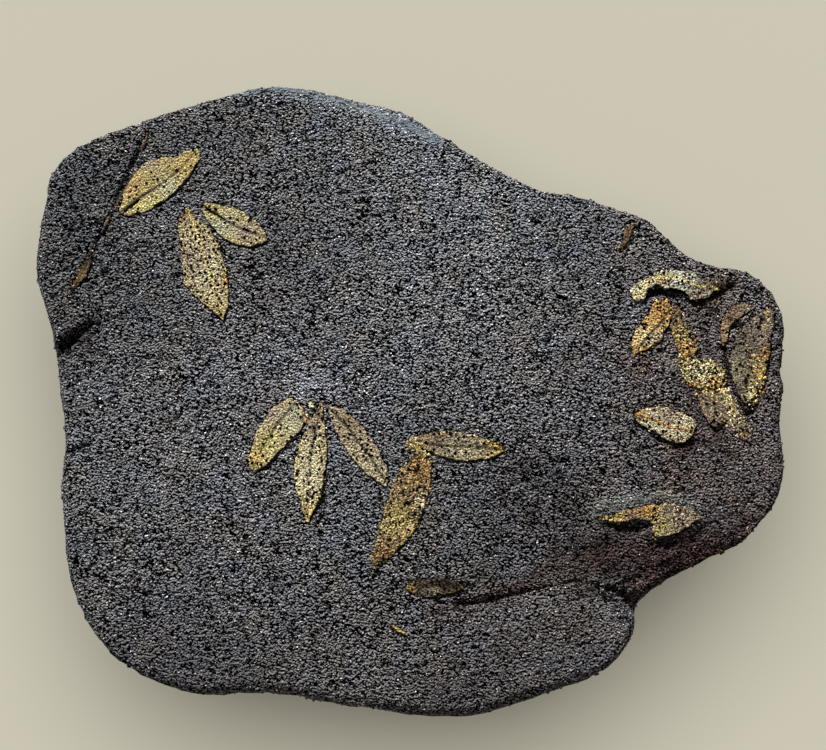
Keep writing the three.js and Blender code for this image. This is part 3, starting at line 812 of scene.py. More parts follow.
def displaced(places, normals):
    """The slab's net with the lumps of its face, its broken sides and its worn base."""
    flat, height, facing = places[:, :2], places[:, 2], normals[:, 2]
    on_base = (facing < BASE_DOWN) & (height < BASE_LEVEL)
    face_rise = FACE_LUMPS.at(places) + FACE_GRIT.at(places) - (FACE_SINK + pit_depth(places))
    face_rise += form_rise(flat)
    for width, depth, path in CRACKS:
        face_rise -= depth * near(flat, path, width)
    side_rise = SIDE_LUMPS.at(places)
    below_rim = np.clip((FACETS_BELOW[0] - height) / FACETS_BELOW[1], 0, 1)
    for size, tilt, step, seed in SIDE_FACETS:
        side_rise += below_rim * np.minimum(facets(places, size, tilt, step, seed) - step, FACET_BULGE)
    side_rise += SIDE_GRIT.at(places)
    up = np.clip((facing - FACE_BLEND[0]) / FACE_BLEND[1], 0, 1) * (height > FACE_LEVEL)
    fade = np.clip(height / FOOT_FADE, 0, 1) * np.clip((RIM_FADE[0] - height) / RIM_FADE[1], RIM_RELIEF, 1)
    chips = np.minimum(RIM_CHIPS.at(places), CHIP_BULGE) * (height > CHIPS_ABOVE)
    rise = np.where(on_base, 0, up * face_rise + (1 - up) * (side_rise * fade + chips))
    places = places + normals * rise[:, None]
    hollow = np.clip(BASE_HOLLOWS.at(places), 0, BASE_HOLLOWS.height)
    places[:, 2] = np.maximum(np.where(on_base, hollow, places[:, 2]), 0)
    return places


def make_stone(tree, film_tree, material):
    mesh = remeshed_slab()
    places = relax(mesh, vertex_places(mesh), 0.5, 2)
    set_places(mesh, places)
    on_face = (vertex_normals(mesh)[:, 2] > 0.6) & (places[:, 2] > FACE_LEVEL)
    heights = highest_near(tree, places[on_face][:, :2], BED_REACH)
    found = np.abs(heights - places[on_face][:, 2]) < 3
    places[on_face, 2] = np.where(found, heights, places[on_face, 2])
    places = relax(mesh, places, 0.35, 1)
    set_places(mesh, places)
    normals = vertex_normals(mesh)
    on_face = (normals[:, 2] > FACE_UP) & (places[:, 2] > FACE_LEVEL)
    places = displaced(places, normals)
    gap = np.zeros(len(places), bool)
    gap[on_face] = in_gap(film_tree, places[on_face][:, :2])
    places[gap, 2] -= GAP_DEPTH
    set_places(mesh, places)
    tints = BASE_SHADE * ash_tint_and_shade(places)
    tints[gap] *= GAP_SHADE
    paint(mesh, np.column_stack([tints, openness(places)]))
    mesh.name = "ash_slab"
    add_piece("ash_slab", mesh, material, STONE_NODE)
    return mesh


# ---------------------------------------------------------------- the stone's grains

GRAIN_SPACING = 0.76
GRAIN_JITTER = 0.42
GRAIN_RADIUS = (0.38, 0.62)
GRAIN_SINK = 0.32
GRAIN_LIFT = 0.12  # how far a grain lies above or below the others
GRAIN_FLATNESS = 0.75
GRAINS_A_PIECE = 24000
SMALL_GRAINS = 0.75  # how large the grains beside films and on the rim are
SMALL_SINK = 0.15
FILM_MARGIN = 0.55  # grains this near a film are small
CRACK_BARE = 0.55  # the part of a crack's half width that has no grains
PIT_BARE = 0.3  # pits deeper than this part of the deepest have none either
SIDE_GRAIN_RADIUS = (0.6, 1.15)
SIDE_GRAIN_COUNT = 9000
SIDE_SLOPE = (-0.8, 0.6)  # how far up, of 1, the normals of the broken sides point
SIDE_FOOT = 1.5  # the sides have no grains below this height
SIDE_SPREAD = 0.5
SIDE_SINK = (0.55, 0.45)  # how deep a side grain is sunk, in its radii, and how much deeper near the rim
SIDE_SINK_HEIGHTS = (26, 18)  # that grows from the first height, over the second
RIM_MARGIN = 0.5  # no grain is nearer than this to where the body falls away
RIM_DROP = 1.5
RIM_REACH = 2.2  # grains this near the rim are smaller and sparser
RIM_BARE = 0.95  # the part of them that is left out
PALE_PART = 0.007
WARM_PART = 0.003
TONE_SPREAD = 0.12
PALE_TONE = np.array([0.42, 0.42, 0.42])
WARM_TONES = np.array([[0.20, 0.10, 0.07], [0.26, 0.20, 0.10]])

# The corners and faces of a grain before its corners are moved about.
GRAIN_CORNERS = np.array([(1, 0, 0), (-1, 0, 0), (0, 1, 0), (0, -1, 0), (0, 0, 1), (0, 0, -1)], float)
GRAIN_FACES = np.array(
    [(0, 2, 4), (2, 1, 4), (1, 3, 4), (3, 0, 4), (2, 0, 5), (1, 2, 5), (3, 1, 5), (0, 3, 5)]
)


def turned_at_random(count, random):
    """One random rotation matrix for each grain."""
    q = random.normal(size=(count, 4))
    w, x, y, z = (q / np.linalg.norm(q, axis=1, keepdims=True)).T
    rows = [
        [1 - 2 * (y * y + z * z), 2 * (x * y - w * z), 2 * (x * z + w * y)],
        [2 * (x * y + w * z), 1 - 2 * (x * x + z * z), 2 * (y * z - w * x)],
        [2 * (x * z - w * y), 2 * (y * z + w * x), 1 - 2 * (x * x + y * y)],
    ]
    return np.array(rows).transpose(2, 0, 1)


def add_grains(name, places, radii, colors, random, material):
    """Angular grains as one piece: each has eight faces, uneven corners and its own tint."""
    count = len(places)
    sides = len(GRAIN_CORNERS)
    corners = GRAIN_CORNERS[None] * random.uniform(0.75, 1.25, (count, sides, 1))
    corners = corners + random.uniform(-0.25, 0.25, (count, sides, 3))
    corners = np.einsum("nij,nkj->nki", turned_at_random(count, random), corners)
    corners[:, :, 2] *= GRAIN_FLATNESS
    vertices = places[:, None] + corners * radii[:, None, None]
    faces = (GRAIN_FACES[None] + sides * np.arange(count)[:, None, None]).reshape(-1, 3)
    mesh = mesh_from(name, vertices.reshape(-1, 3), faces, np.repeat(colors, sides, axis=0))
    add_piece(name, mesh, material)


def grain_colors(places, random):
    """Greys of the ash with a few pale, glassy and reddish grains."""
    count = len(places)
    tone = np.exp(random.normal(0, TONE_SPREAD, count))
    colors = ash_tint_and_shade(places) * tone[:, None]
    pick = random.uniform(size=count)
    pale = pick < PALE_PART
    warm = (pick > PALE_PART) & (pick < PALE_PART + WARM_PART)
    colors[pale] = PALE_TONE * random.uniform(0.6, 1.3, (pale.sum(), 1))
    colors[warm] = WARM_TONES[random.integers(0, 2, warm.sum())]
    return np.column_stack([colors, openness(places)])


def face_grain_places(stone_tree, film_tree, random):
    """Jittered places for the face's grains, off the films and out of the cracks, and which are small."""
    low, high = np.array(CAD_BOX)[:, :2] / MM
    places = jittered_lattice(low, high, GRAIN_SPACING, GRAIN_JITTER, random)
    heights = highest_near(stone_tree, places, BED_REACH)
    kept = (heights > FACE_LEVEL) & (drop(film_tree, places) == NO_HIT) & ~in_gap(film_tree, places)
    for width, _, path in CRACKS:
        kept &= distance_to_path(places, path) > CRACK_BARE * width
    flat, heights = places[kept], heights[kept]
    places = np.column_stack([flat, heights])
    near_film = highest_near(film_tree, flat, FILM_MARGIN) != NO_HIT
    solid = pit_depth(places) < PIT_BARE * FACE_PITS["depth"]
    near_rim = lowest_near(stone_tree, flat, RIM_REACH) < FACE_LEVEL
    in_bevel = distance_to_path(flat, BEVEL_PATH) < BEVEL_WIDTH
    bare = near_rim & (random.uniform(size=len(places)) < RIM_BARE)
    bare |= in_bevel & (random.uniform(size=len(places)) < BEVEL_BARE)
    kept = solid & ~bare
    return places[kept], (near_film | near_rim | in_bevel)[kept]


def add_face_grains(body, stone_tree, film_tree, material):
    random = np.random.default_rng(7)
    places, small = face_grain_places(stone_tree, film_tree, random)
    relief = FACE_LUMPS.at(places)
    radii = random.uniform(*GRAIN_RADIUS, len(places)) * np.where(small, SMALL_GRAINS, 1)
    places[:, 2] -= np.where(small, SMALL_SINK, 0)
    relief = relief + FACE_GRIT.at(places) + form_rise(places[:, :2])
    places[:, 2] += relief - FACE_SINK - GRAIN_SINK
    places[:, 2] += random.uniform(-GRAIN_LIFT, GRAIN_LIFT, len(places))
    body_tree = tree_from(vertex_places(body), [tuple(face.vertices) for face in body.polygons])
    held = places[:, 2] - lowest_near(body_tree, places[:, :2], RIM_MARGIN) < RIM_DROP
    places, radii = places[held], radii[held]
    colors = grain_colors(places, random)
    for number, start in enumerate(range(0, len(places), GRAINS_A_PIECE)):
        part = slice(start, start + GRAINS_A_PIECE)
        name = f"ash_grains_{number + 1}"
        add_grains(name, places[part], radii[part], colors[part], random, material)


def add_side_grains(body, material):
    """Coarser grains on the broken sides."""
    random = np.random.default_rng(8)
    middles = rows_of(body.polygons, "center") / MM
    normals = rows_of(body.polygons, "normal")
    on_side = (normals[:, 2] > SIDE_SLOPE[0]) & (normals[:, 2] < SIDE_SLOPE[1])
    sides = np.flatnonzero(on_side & (middles[:, 2] > SIDE_FOOT))
    chosen = random.choice(sides, min(SIDE_GRAIN_COUNT, len(sides)), replace=False)
    places = middles[chosen] + random.uniform(-SIDE_SPREAD, SIDE_SPREAD, (len(chosen), 3))
    radii = random.uniform(*SIDE_GRAIN_RADIUS, len(chosen))
    near_rim = np.clip((places[:, 2] - SIDE_SINK_HEIGHTS[0]) / SIDE_SINK_HEIGHTS[1], 0, 1)
    sink = SIDE_SINK[0] + SIDE_SINK[1] * near_rim
    places = places - normals[chosen] * (sink * radii)[:, None]
    places[:, 2] = np.maximum(places[:, 2], radii)
    colors = grain_colors(places, random)
    add_grains("ash_grains_sides", places, radii, colors, random, material)


# ---------------------------------------------------------------- the leaves

# Display colours of the films.
OCHRE = (176, 159, 100)
GOLD = (196, 166, 86)
ORANGE = (186, 138, 66)
BEIGE = (182, 168, 132)
PALE = (196, 188, 150)
GREY_GREEN = (166, 168, 140)
MAUVE = (158, 140, 118)
BROWN = (120, 92, 62)
DARK_BROWN = (74, 54, 38)
GREY_BROWN = (128, 116, 98)
YELLOW = (204, 192, 142)
STRAW = (206, 186, 112)
FURROW_WIDTH = 0.33  # half width of the painted shade along a furrowed midrib


class Leaf(NamedTuple):
    """One leaf's or twig's looks."""

    groove: float  # how deep the midrib's furrow is; below zero is a raised rib
    specks: int  # dark grains a square centimetre
    grit: float  # how rough and granular the film is
    tear: float  # how ragged its outline is
    body: tuple  # its colour
    edge: tuple  # its margin's colour
    rib: list  # the midrib's line
    patches: list = []  # each a colour, a place and a reach
    slit: tuple = (0, 1)  # the part of the midrib that gapes as a slit, painted black with shade, from 0 to 1 along it
    slit_width: float = FURROW_WIDTH
    rib_color: tuple = STRAW  # a raised rib's colour
    pulls: list = []  # where the outline is drawn out: each a place, a shift and a reach


LEAVES = {
    "leaf_top_left": Leaf(
        0.33, 9, 0.3, 0.35, (172, 154, 98), OCHRE,
        [(-89.5, 54), (-82.5, 60), (-76.5, 64), (-70.5, 69), (-66, 74.5)],
        [
            (GREY_GREEN, (-74, 63.5), 3), ((186, 180, 112), (-80.5, 57.5), 4.5),
            ((176, 142, 82), (-84.5, 63), 3.5), ((182, 156, 88), (-68, 71), 4), (MAUVE, (-80, 70.5), 2.5),
        ],
        slit=(0, 0.42), slit_width=0.6,
        pulls=[((-65.7, 73.2), (0.8, -0.1), 2.6), ((-68.6, 75.1), (-0.2, 0.8), 2.2)],
    ),
    "leaf_upper_short": Leaf(
        0.33, 13, 0.3, 0.25, (176, 164, 117), (178, 162, 116),
        [(-65, 57.5), (-59, 54), (-54, 50.5), (-48.5, 48), (-43.5, 46)],
        [(GREY_GREEN, (-57.5, 50.5), 3.5), (MAUVE, (-49.5, 48.5), 4), (OCHRE, (-60, 56), 3)],
        slit=(0, 0.72), slit_width=0.42,
    ),
    "leaf_upper_long": Leaf(
        -0.2, 36, 0.45, 0.4, BEIGE, OCHRE,
        [(-68, 56), (-64, 45.5), (-61.5, 37.5), (-58, 26.5), (-56, 20)],
        [
            ((190, 148, 78), (-54.8, 33), 2.6), (BROWN, (-68, 54), 3), (BROWN, (-68.5, 41), 1.6),
            (MAUVE, (-65, 38), 5), (PALE, (-60, 36), 3), ((184, 162, 108), (-58, 23), 3),
        ],
    ),
    "leaf_trio_left": Leaf(
        0.3, 13, 0.4, 0.3, (181, 168, 124), (172, 156, 112),
        [(-34, -6), (-39.5, -13), (-43.5, -20), (-46.5, -27.5)],
        [
            ((188, 180, 100), (-41, -17), 3), (GOLD, (-45, -22), 3), (GREY_GREEN, (-35, -10), 4),
            (MAUVE, (-40.5, -9), 4),
        ],
        slit=(0, 0.5),
    ),
    "leaf_trio_middle": Leaf(
        0.25, 26, 0.4, 0.35, (188, 176, 138), OCHRE,
        [(-26, -5.5), (-28, -17), (-29, -23), (-29.5, -35), (-29.5, -42)],
        [(MAUVE, (-29, -12.5), 4), (GOLD, (-29.5, -40), 3), (BROWN, (-27, -7), 3), (PALE, (-29, -27), 5)],
        slit=(0.15, 0.55),
    ),
    "leaf_trio_right": Leaf(
        0.35, 22, 0.4, 0.35, (162, 149, 118), MAUVE,
        [(-24, -7), (-17.5, -14), (-14.5, -18.5), (-11.5, -22), (-6, -31)],
        [(BROWN, (-16, -10), 4), (MAUVE, (-10.5, -17), 4), (BEIGE, (-14, -24), 4), (BEIGE, (-8, -29), 3)],
        slit=(0, 1),
    ),
    "leaf_middle_level": Leaf(
        0.3, 20, 0.6, 0.3, (148, 138, 112), (158, 144, 102),
        [(0, -17), (6.5, -18.5), (11, -19), (21, -19.5), (28.5, -20)],
        [
            (BROWN, (6, -17), 4), (GREY_BROWN, (16, -16), 5), (GOLD, (27, -19), 3.5),
            (OCHRE, (0.5, -17), 2.5), (BEIGE, (18, -21.5), 4),
        ],
        slit=(0.3, 0.95),
    ),
    "leaf_middle_broad": Leaf(
        0.1, 14, 1.35, 0.28, (147, 124, 86), (143, 122, 86),
        [(4.5, -20.5), (1, -32), (-4, -44), (-10.5, -55)],
        [
            ((160, 122, 68), (4, -26), 4), (BEIGE, (4.5, -36), 2.5), ((128, 98, 60), (-7, -52), 3),
            (STRAW, (-3, -42), 4),
        ],
    ),
    "leaf_in_crease": Leaf(
        0.1, 20, 0.9, 0.3, (70, 58, 44), (92, 74, 48),
        [(-1, -60.5), (6.5, -60.5), (16, -61)],
        [
            ((52, 40, 30), (9, -59), 4), ((150, 122, 72), (0.4, -61.2), 1.4),
            ((124, 114, 92), (7, -62.6), 2.4),
        ],
    ),
    "leaf_curled": Leaf(
        -0.1, 20, 0.8, 0.5, (158, 151, 131), (178, 171, 144),
        [(68.5, 27), (73.5, 33), (81, 33.5), (88.5, 30.5), (94, 30)],
        [
            ((182, 184, 172), (84, 34), 4.5), ((92, 82, 70), (92, 30.5), 5),
            ((176, 150, 96), (76.5, 33), 2.2), (MAUVE, (88, 28), 2), (PALE, (71, 30), 3),
            (DARK_BROWN, (92, 33), 2.5),
        ],
    ),
    "leaf_gold": Leaf(
        0.35, 24, 0.8, 0.35, (193, 159, 100), (193, 153, 90),
        [(80.5, 25), (76, 19), (71.5, 14), (69, 10.5)],
        [(ORANGE, (75.5, 23), 4), (BEIGE, (74.5, 14), 3.5), (YELLOW, (70, 15.5), 2.5)],
        slit=(0.1, 0.9),
    ),
    "leaf_bronze": Leaf(
        0.1, 34, 1.3, 0.5, (156, 134, 98), BROWN,
        [(81.5, 24.5), (84, 17), (85, 9.5)],
        [(STRAW, (81.5, 17), 3), (ORANGE, (84, 10.5), 3), (GREY_BROWN, (84.5, 21), 3)],
    ),
    "leaf_gritty": Leaf(
        0.0, 40, 1.6, 0.6, (203, 190, 144), OCHRE,
        [(81.5, 7), (87.5, 3), (95, 0.5)],
        [(ORANGE, (92.5, 0.5), 3), (ORANGE, (86, -0.5), 2), (PALE, (87, 6), 3)],
    ),
    "leaf_grey_brown": Leaf(
        0.1, 18, 0.45, 0.35, (107, 95, 79), BROWN,
        [(87, -3.5), (90.5, -6.5), (94.5, -11.5)],
        [(YELLOW, (96, -4.5), 2.2), ((134, 118, 98), (89, -8), 3)],
    ),
    "leaf_end_scrap": Leaf(
        0.0, 40, 1.2, 0.6, (118, 105, 81), GREY_BROWN,
        [(96.5, -10.5), (101, -17)],
    ),
    "leaf_arc": Leaf(
        0.05, 8, 0.4, 0.3, (120, 102, 83), BROWN,
        [(104.5, 24.5), (100, 23.5), (97, 19.5), (95, 13)],
        [(GREY_BROWN, (103, 24.5), 3), ((150, 122, 90), (96, 16), 3)],
    ),
    "leaf_far_right": Leaf(
        0.05, 26, 0.7, 0.45, (101, 92, 78), (92, 82, 68),
        [(110, 24), (105.5, 17), (102.5, 7.5), (101, -5.5)],
        [
            (GOLD, (105.5, 3), 3), (ORANGE, (107.3, 9.5), 2), (YELLOW, (103.3, -3), 2.6),
            ((124, 110, 94), (107, 18.5), 6), ((136, 128, 100), (98.8, 5), 4),
        ],
    ),
    "leaf_ribbed": Leaf(
        -0.35, 20, 0.5, 0.35, (182, 170, 140), BEIGE,
        [(67.5, -9), (72, -10.5), (78, -13), (84.5, -14.5)],
        [(ORANGE, (68.5, -9.5), 2.2), (MAUVE, (77, -9.5), 4), (PALE, (73.5, -14), 3.5)],
        rib_color=ORANGE,
    ),
    "leaf_broken": Leaf(
        0.1, 16, 0.9, 0.5, (121, 108, 90), (143, 128, 101),
        [(58.5, -41), (68, -39.5), (77, -39), (85, -40)],
        [
            (BROWN, (66, -39), 4), (ORANGE, (71, -38.5), 2.6), ((172, 156, 96), (74, -43.5), 4),
            (MAUVE, (80, -39.5), 4), (GOLD, (61, -40.5), 3),
        ],
        pulls=[
            ((72.9, -45.8), (-0.9, -1.0), 1.6), ((85.3, -40.6), (1.3, 0.1), 2.4),
            ((70.4, -42.7), (0.7, 0.5), 1.2),
        ],
    ),
    "leaf_sliver_low": Leaf(
        -0.15, 0, 0.3, 0.2, (144, 121, 51), (134, 96, 50),
        [(-5.5, -71.7), (0, -75.3)],
        rib_color=(178, 154, 92),
    ),
    "leaf_sliver_high": Leaf(
        0.2, 0, 1.2, 0.6, (120, 98, 61), (104, 80, 50),
        [(68.6, 50.7), (64.6, 41.9)],
    ),
    "leaf_bud": Leaf(
        -0.1, 0, 0.4, 0.2, (237, 241, 193), (190, 194, 150),
        [(-29.4, -5.1), (-29, -7.6)],
    ),
    "twig_upper": Leaf(
        0.2, 0, 1.0, 0.4, (156, 132, 100), (110, 92, 74),
        [(-81.2, 81.4), (-83.6, 74.7)],
    ),
    "twig_middle": Leaf(
        0.2, 0, 1.0, 0.4, (172, 146, 108), (124, 104, 80),
        [(-91.4, 54.9), (-94.1, 48.3)],
    ),
    "twig_lower": Leaf(
        0.2, 0, 1.1, 0.6, (124, 102, 66), (88, 70, 46),
        [(-96.5, 41.2), (-102.2, 29.5)],
        # Its two near-black patches are painted shade along the twig's upper left side.
        [((40, 32, 24), (-98.9, 38.9), 1.7), ((44, 35, 26), (-100.5, 36.8), 1.1)],
    ),
}

SLOTS = {
    "golden_leaf": (
        "leaf_top_left", "leaf_upper_short", "leaf_trio_left", "leaf_gold", "leaf_sliver_low",
        "leaf_sliver_high",
    ),
    "brown_leaf": (
        "leaf_middle_broad", "leaf_in_crease", "leaf_bronze", "leaf_grey_brown", "leaf_end_scrap",
        "leaf_arc", "leaf_far_right",
    ),
    "twig": ("twig_upper", "twig_middle", "twig_lower"),
}
OTHER_SLOT = "pale_leaf"

FILM_SHADE = 0.72  # how much of its display colour a film keeps, under the strong key light
FILM_STEP = 0.34  # between a film's points
UNDER_STEP = 2.2  # between the points of its underside
FILM_THICKNESS = 0.3
UNDER_SINK = 0.15  # how much deeper than that its underside lies, in its bed
FORM_LIMITS = (-0.3, 1)  # how far the stone's ridges and hollows take a film with them
HALF_BULGE = 0.10  # how far each half of the blade swells between rib and edge
RIB_WIDTH = 0.30
RIB_STEP = 0.3
RIB_MARGIN = 0.6  # other points stay this far from the midrib
EDGE_MARGIN = 0.2  # the midrib's points stay this far from the outline
EASE_REACH = 1.1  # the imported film's heights are averaged this far round each point
ABOVE_FILMS = 58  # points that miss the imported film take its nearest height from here
TOP_SLOPE = 0.3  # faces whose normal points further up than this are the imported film's top
BULGE_WIDTH = 3  # narrower blades swell less
RIB_ROWS = (-0.42, -0.16, 0.16, 0.42)  # rows of points along the midrib, by their distance from it
EDGE_BAND = 1.0  # width of the differently coloured margin
RIDGE_BAND = 0.36  # half width of a raised rib's colour
SLIT_REACH = 0.8  # how near its line the midrib's slit gapes
SLIT_POINTS = 12
# Waves of a film's outline, relief and colour. A leaf's own seed is added to theirs.
TEARS = [Waves(1, 2.1, 1, 0), Waves(0.7, 0.9, 1, 1), Waves(0.5, 0.5, 1, 2)]
TEAR_DEPTH = 0.8
BLADE_WAVES = Waves(0.10, 3.0, 2, 0)
BLADE_GRIT = Waves(0.22, 1.0, 2, 5)
BLADE_RISE = 0.05
COLOR_DRIFT = Waves(1, 2.4, 3, 20)
COLOR_MOTTLE = Waves(0.08, 0.9, 2, 30)
COLOR_GRIT = Waves(0.20, 0.8, 2, 5)


def top_loop(name):
    """The closed outline of a film's top, seen from above."""
    vertices, faces = node_mesh(name)
    seen = {}
    for face in faces:
        a, b, c = (vertices[v] for v in face[:3])
        across = np.cross(b - a, c - a)
        if across[2] < TOP_SLOPE * np.linalg.norm(across):
            continue
        for start, end in zip(face, face[1:] + face[:1]):
            if seen.pop((end, start), None) is None:
                seen[(start, end)] = True
    following = dict(seen.keys())
    first = next(iter(following))
    loop = [first]
    while following[loop[-1]] != first:
        loop.append(following[loop[-1]])
    return vertices[loop][:, :2]


def evenly_spaced(loop, step):
    line = closed(loop)
    marks = travelled(line)
    stops = np.linspace(0, marks[-1], max(int(marks[-1] / step), 12), endpoint=False)
    return points_at(line, marks, stops)


def outward_from(along):
    """Level unit vectors to the right of steps along an outline."""
    outward = np.column_stack([along[:, 1], -along[:, 0]])
    return outward / np.maximum(np.linalg.norm(outward, axis=1, keepdims=True), 1e-9)


def outline(name, leaf, seed):
    """A film's outline: drawn out at its pulls, its straight stretches eased, and torn a little."""
    loop = evenly_spaced(top_loop(name), FILM_STEP)
    for place, shift, reach in leaf.pulls:
        loop = loop + near(loop, [place], reach)[:, None] * shift
    for _ in range(3):
        loop = (np.roll(loop, 1, axis=0) + 2 * loop + np.roll(loop, -1, axis=0)) / 4
    outward = outward_from(np.roll(loop, -1, axis=0) - np.roll(loop, 1, axis=0))
    push = sum(waves.at(loop, seed) for waves in TEARS)
    return loop + outward * (TEAR_DEPTH * leaf.tear * push)[:, None]


def points_inside(loop, step, margin, random):
    places = jittered_lattice(loop.min(axis=0), loop.max(axis=0), step, 0.15, random)
    places = places[inside(places, loop)]
    return places[distance_to_path(places, closed(loop)) > margin]


def filled(loop, inner):
    """Triangles over the loop and its inner points, all facing up."""
    count = len(loop)
    points = [Vector(p) for p in np.vstack([loop, inner])]
    edges = [(k, (k + 1) % count) for k in range(count)]
    found = delaunay_2d_cdt(points, edges, [], 1, 1e-5)
    places = np.array([tuple(p) for p in found[0]])
    triangles = np.array([face for face in found[2] if len(face) == 3])
    a, b, c = (places[triangles[:, k]] for k in range(3))
    turn = (b[:, 0] - a[:, 0]) * (c[:, 1] - a[:, 1]) - (b[:, 1] - a[:, 1]) * (c[:, 0] - a[:, 0])
    triangles[turn < 0] = triangles[turn < 0][:, ::-1]
    return places, triangles


def film_heights(tree, places):
    """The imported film's top, eased over its flat facets."""
    star = np.vstack([CROSS, CROSS[1:] @ np.array([[0.7, 0.7], [-0.7, 0.7]])])
    total = np.zeros(len(places))
    hits = np.zeros(len(places))
    for step in star:
        heights = drop(tree, places + EASE_REACH * step)
        total += np.where(heights > NO_HIT, heights, 0)
        hits += heights > NO_HIT
    for k in np.flatnonzero(hits == 0):
        total[k] = tree.find_nearest(Vector((*places[k], ABOVE_FILMS)))[0].z
        hits[k] = 1
    return total / hits


def rib_points(rib, loop):
    """Rows of points on and beside the midrib, so that its furrow is narrow and sharp."""
    rib = np.array(rib, float)
    marks = travelled(rib)
    line = points_at(rib, marks, np.linspace(0, marks[-1], max(int(marks[-1] / RIB_STEP), 2)))
    along = np.gradient(line, axis=0)
    aside = np.column_stack([-along[:, 1], along[:, 0]]) / np.linalg.norm(along, axis=1, keepdims=True)
    rows = np.vstack([line + offset * aside for offset in RIB_ROWS])
    rows = rows[inside(rows, loop)]
    return rows[distance_to_path(rows, closed(loop)) > EDGE_MARGIN]


def signed_area(loop):
    following = np.roll(loop, -1, axis=0)
    return 0.5 * np.sum(loop[:, 0] * following[:, 1] - following[:, 0] * loop[:, 1])


def free_edge(places, loop):
    """How much the outline near each place faces away from the light, from 0 to 1."""
    outward = outward_from(np.roll(loop, -3, axis=0) - np.roll(loop, 3, axis=0))
    facing = np.clip(outward * np.sign(signed_area(loop)) @ FREE_EDGE["towards"], 0, 1)
    nearest = [np.linalg.norm(loop - place, axis=1).argmin() for place in places]
    return facing[nearest]


def film_relief(places, to_rib, to_edge, leaf, seed):
    """How far a film's blade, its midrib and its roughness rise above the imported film."""
    share = to_edge * to_rib / np.maximum(to_edge + to_rib, 1e-6) ** 2
    relief = HALF_BULGE * 4 * share * np.clip((to_edge + to_rib) / BULGE_WIDTH, 0, 1)
    relief -= leaf.groove * np.exp(-((to_rib / RIB_WIDTH) ** 2))
    relief += BLADE_WAVES.at(places, seed)
    return relief + (BLADE_RISE + leaf.grit * BLADE_GRIT.at(places, seed))


def film_colors(places, to_rib, to_edge, leaf, seed):
    """The film's colours: a body tone, a margin, patches and mottling."""
    wander = COLOR_DRIFT.at(places, seed)
    color = FILM_SHADE * np.tile(linear(leaf.body), (len(places), 1))

    def blend(target, weight):
        return color + np.clip(weight, 0, 1)[:, None] * (FILM_SHADE * linear(target) - color)

    color = blend(leaf.edge, 0.9 * np.exp(-((to_edge / EDGE_BAND) ** 2)) * (1 + 0.6 * wander))
    for target, at, reach in leaf.patches:
        color = blend(target, near(places, [at], reach) * (0.9 + 0.5 * wander))
    # Painted shade in the midrib's furrow, deeper for a deeper furrow and near black where it gapes as a
    # slit.
    if leaf.groove > 0:
        rib = np.array(leaf.rib, float)
        stops = np.linspace(*leaf.slit, SLIT_POINTS) * (len(rib) - 1)
        gaping = distance_to_path(places, points_at(rib, np.arange(len(rib)), stops)) < SLIT_REACH
        width = np.where(gaping, leaf.slit_width, FURROW_WIDTH)
        furrow_shade = np.exp(-((to_rib / width) ** 2)) * min(leaf.groove * 3, 1)
        depth = np.where(gaping, 0.97, 0.45 + 0.5 * wander)
        color = color * (1 - furrow_shade * np.clip(depth, 0, 1))[:, None]
    if leaf.groove < 0:
        color = blend(leaf.rib_color, 1.1 * np.exp(-((to_rib / RIDGE_BAND) ** 2)))
    mottle = COLOR_MOTTLE.at(places, seed) + leaf.grit * COLOR_GRIT.at(places, seed)
    pitted = np.clip(0.5 * leaf.grit - 0.05 + 0.25 * wander, 0, 1)
    return np.column_stack([color * np.exp(mottle)[:, None], pitted])


def make_film(name, leaf, seed, material):
    random = np.random.default_rng(seed)
    loop = outline(name, leaf, seed)
    inner = points_inside(loop, FILM_STEP, 0.55 * FILM_STEP, random)
    inner = inner[distance_to_path(inner, leaf.rib) > RIB_MARGIN]
    top, top_faces = filled(loop, np.vstack([inner, rib_points(leaf.rib, loop)]))
    under, under_faces = filled(loop, points_inside(loop, UNDER_STEP, 0.5, random))
    tree = tree_of([name])
    to_edge = distance_to_path(top, closed(loop))
    to_rib = distance_to_path(top, leaf.rib)
    heights = film_heights(tree, top) + film_relief(top, to_rib, to_edge, leaf, seed)
    heights += FREE_EDGE["lift"] * free_edge(top, loop) * np.exp(-to_edge / FREE_EDGE["reach"])
    heights += np.clip(form_rise(top), *FORM_LIMITS)
    under_heights = film_heights(tree, under) - FILM_THICKNESS - UNDER_SINK
    under_heights += np.clip(form_rise(under), *FORM_LIMITS)
    count = len(top)
    ring = [(k, (k + 1) % len(loop)) for k in range(len(loop))]
    if signed_area(loop) < 0:
        ring = [(b, a) for a, b in ring]
    walls = [(a, a + count, b + count, b) for a, b in ring]
    vertices = np.vstack([np.column_stack([top, heights]), np.column_stack([under, under_heights])])
    faces = top_faces.tolist() + (under_faces[:, ::-1] + count).tolist() + walls
    colors = film_colors(top, to_rib, to_edge, leaf, seed)
    under_colors = np.tile([*linear(DARK_BROWN), 0], (len(under), 1))
    mesh = mesh_from(name + "_film", vertices, faces, np.vstack([colors, under_colors]))
    for face in mesh.polygons:
        face.use_smooth = True
    add_piece(name + "_film", mesh, material, name)
    return top, heights, to_edge, colors


SPECK_COLOR = np.array([0.001, 0.001, 0.001, 1])
SPECK_RADIUS = (0.34, 0.68)
SPECK_RISE = 0.02
SPECK_MARGIN = 0.3  # from the film's edge
SPECK_SPACING = 0.9


def speck_places(top, heights, to_edge, density, random):
    """Places for dark grains on a film, not too near each other."""
    area = FILM_STEP * FILM_STEP * math.sqrt(3) / 2 * len(top)  # in square millimetres
    wanted = int(area * density / 100)
    chosen = []
    for k in random.permutation(np.flatnonzero(to_edge > SPECK_MARGIN)):
        if len(chosen) == wanted:
            break
        if all(np.hypot(*(top[k] - top[other])) > SPECK_SPACING for other in chosen):
            chosen.append(k)
    return np.column_stack([top[chosen], heights[chosen]]) if chosen else np.empty((0, 3))


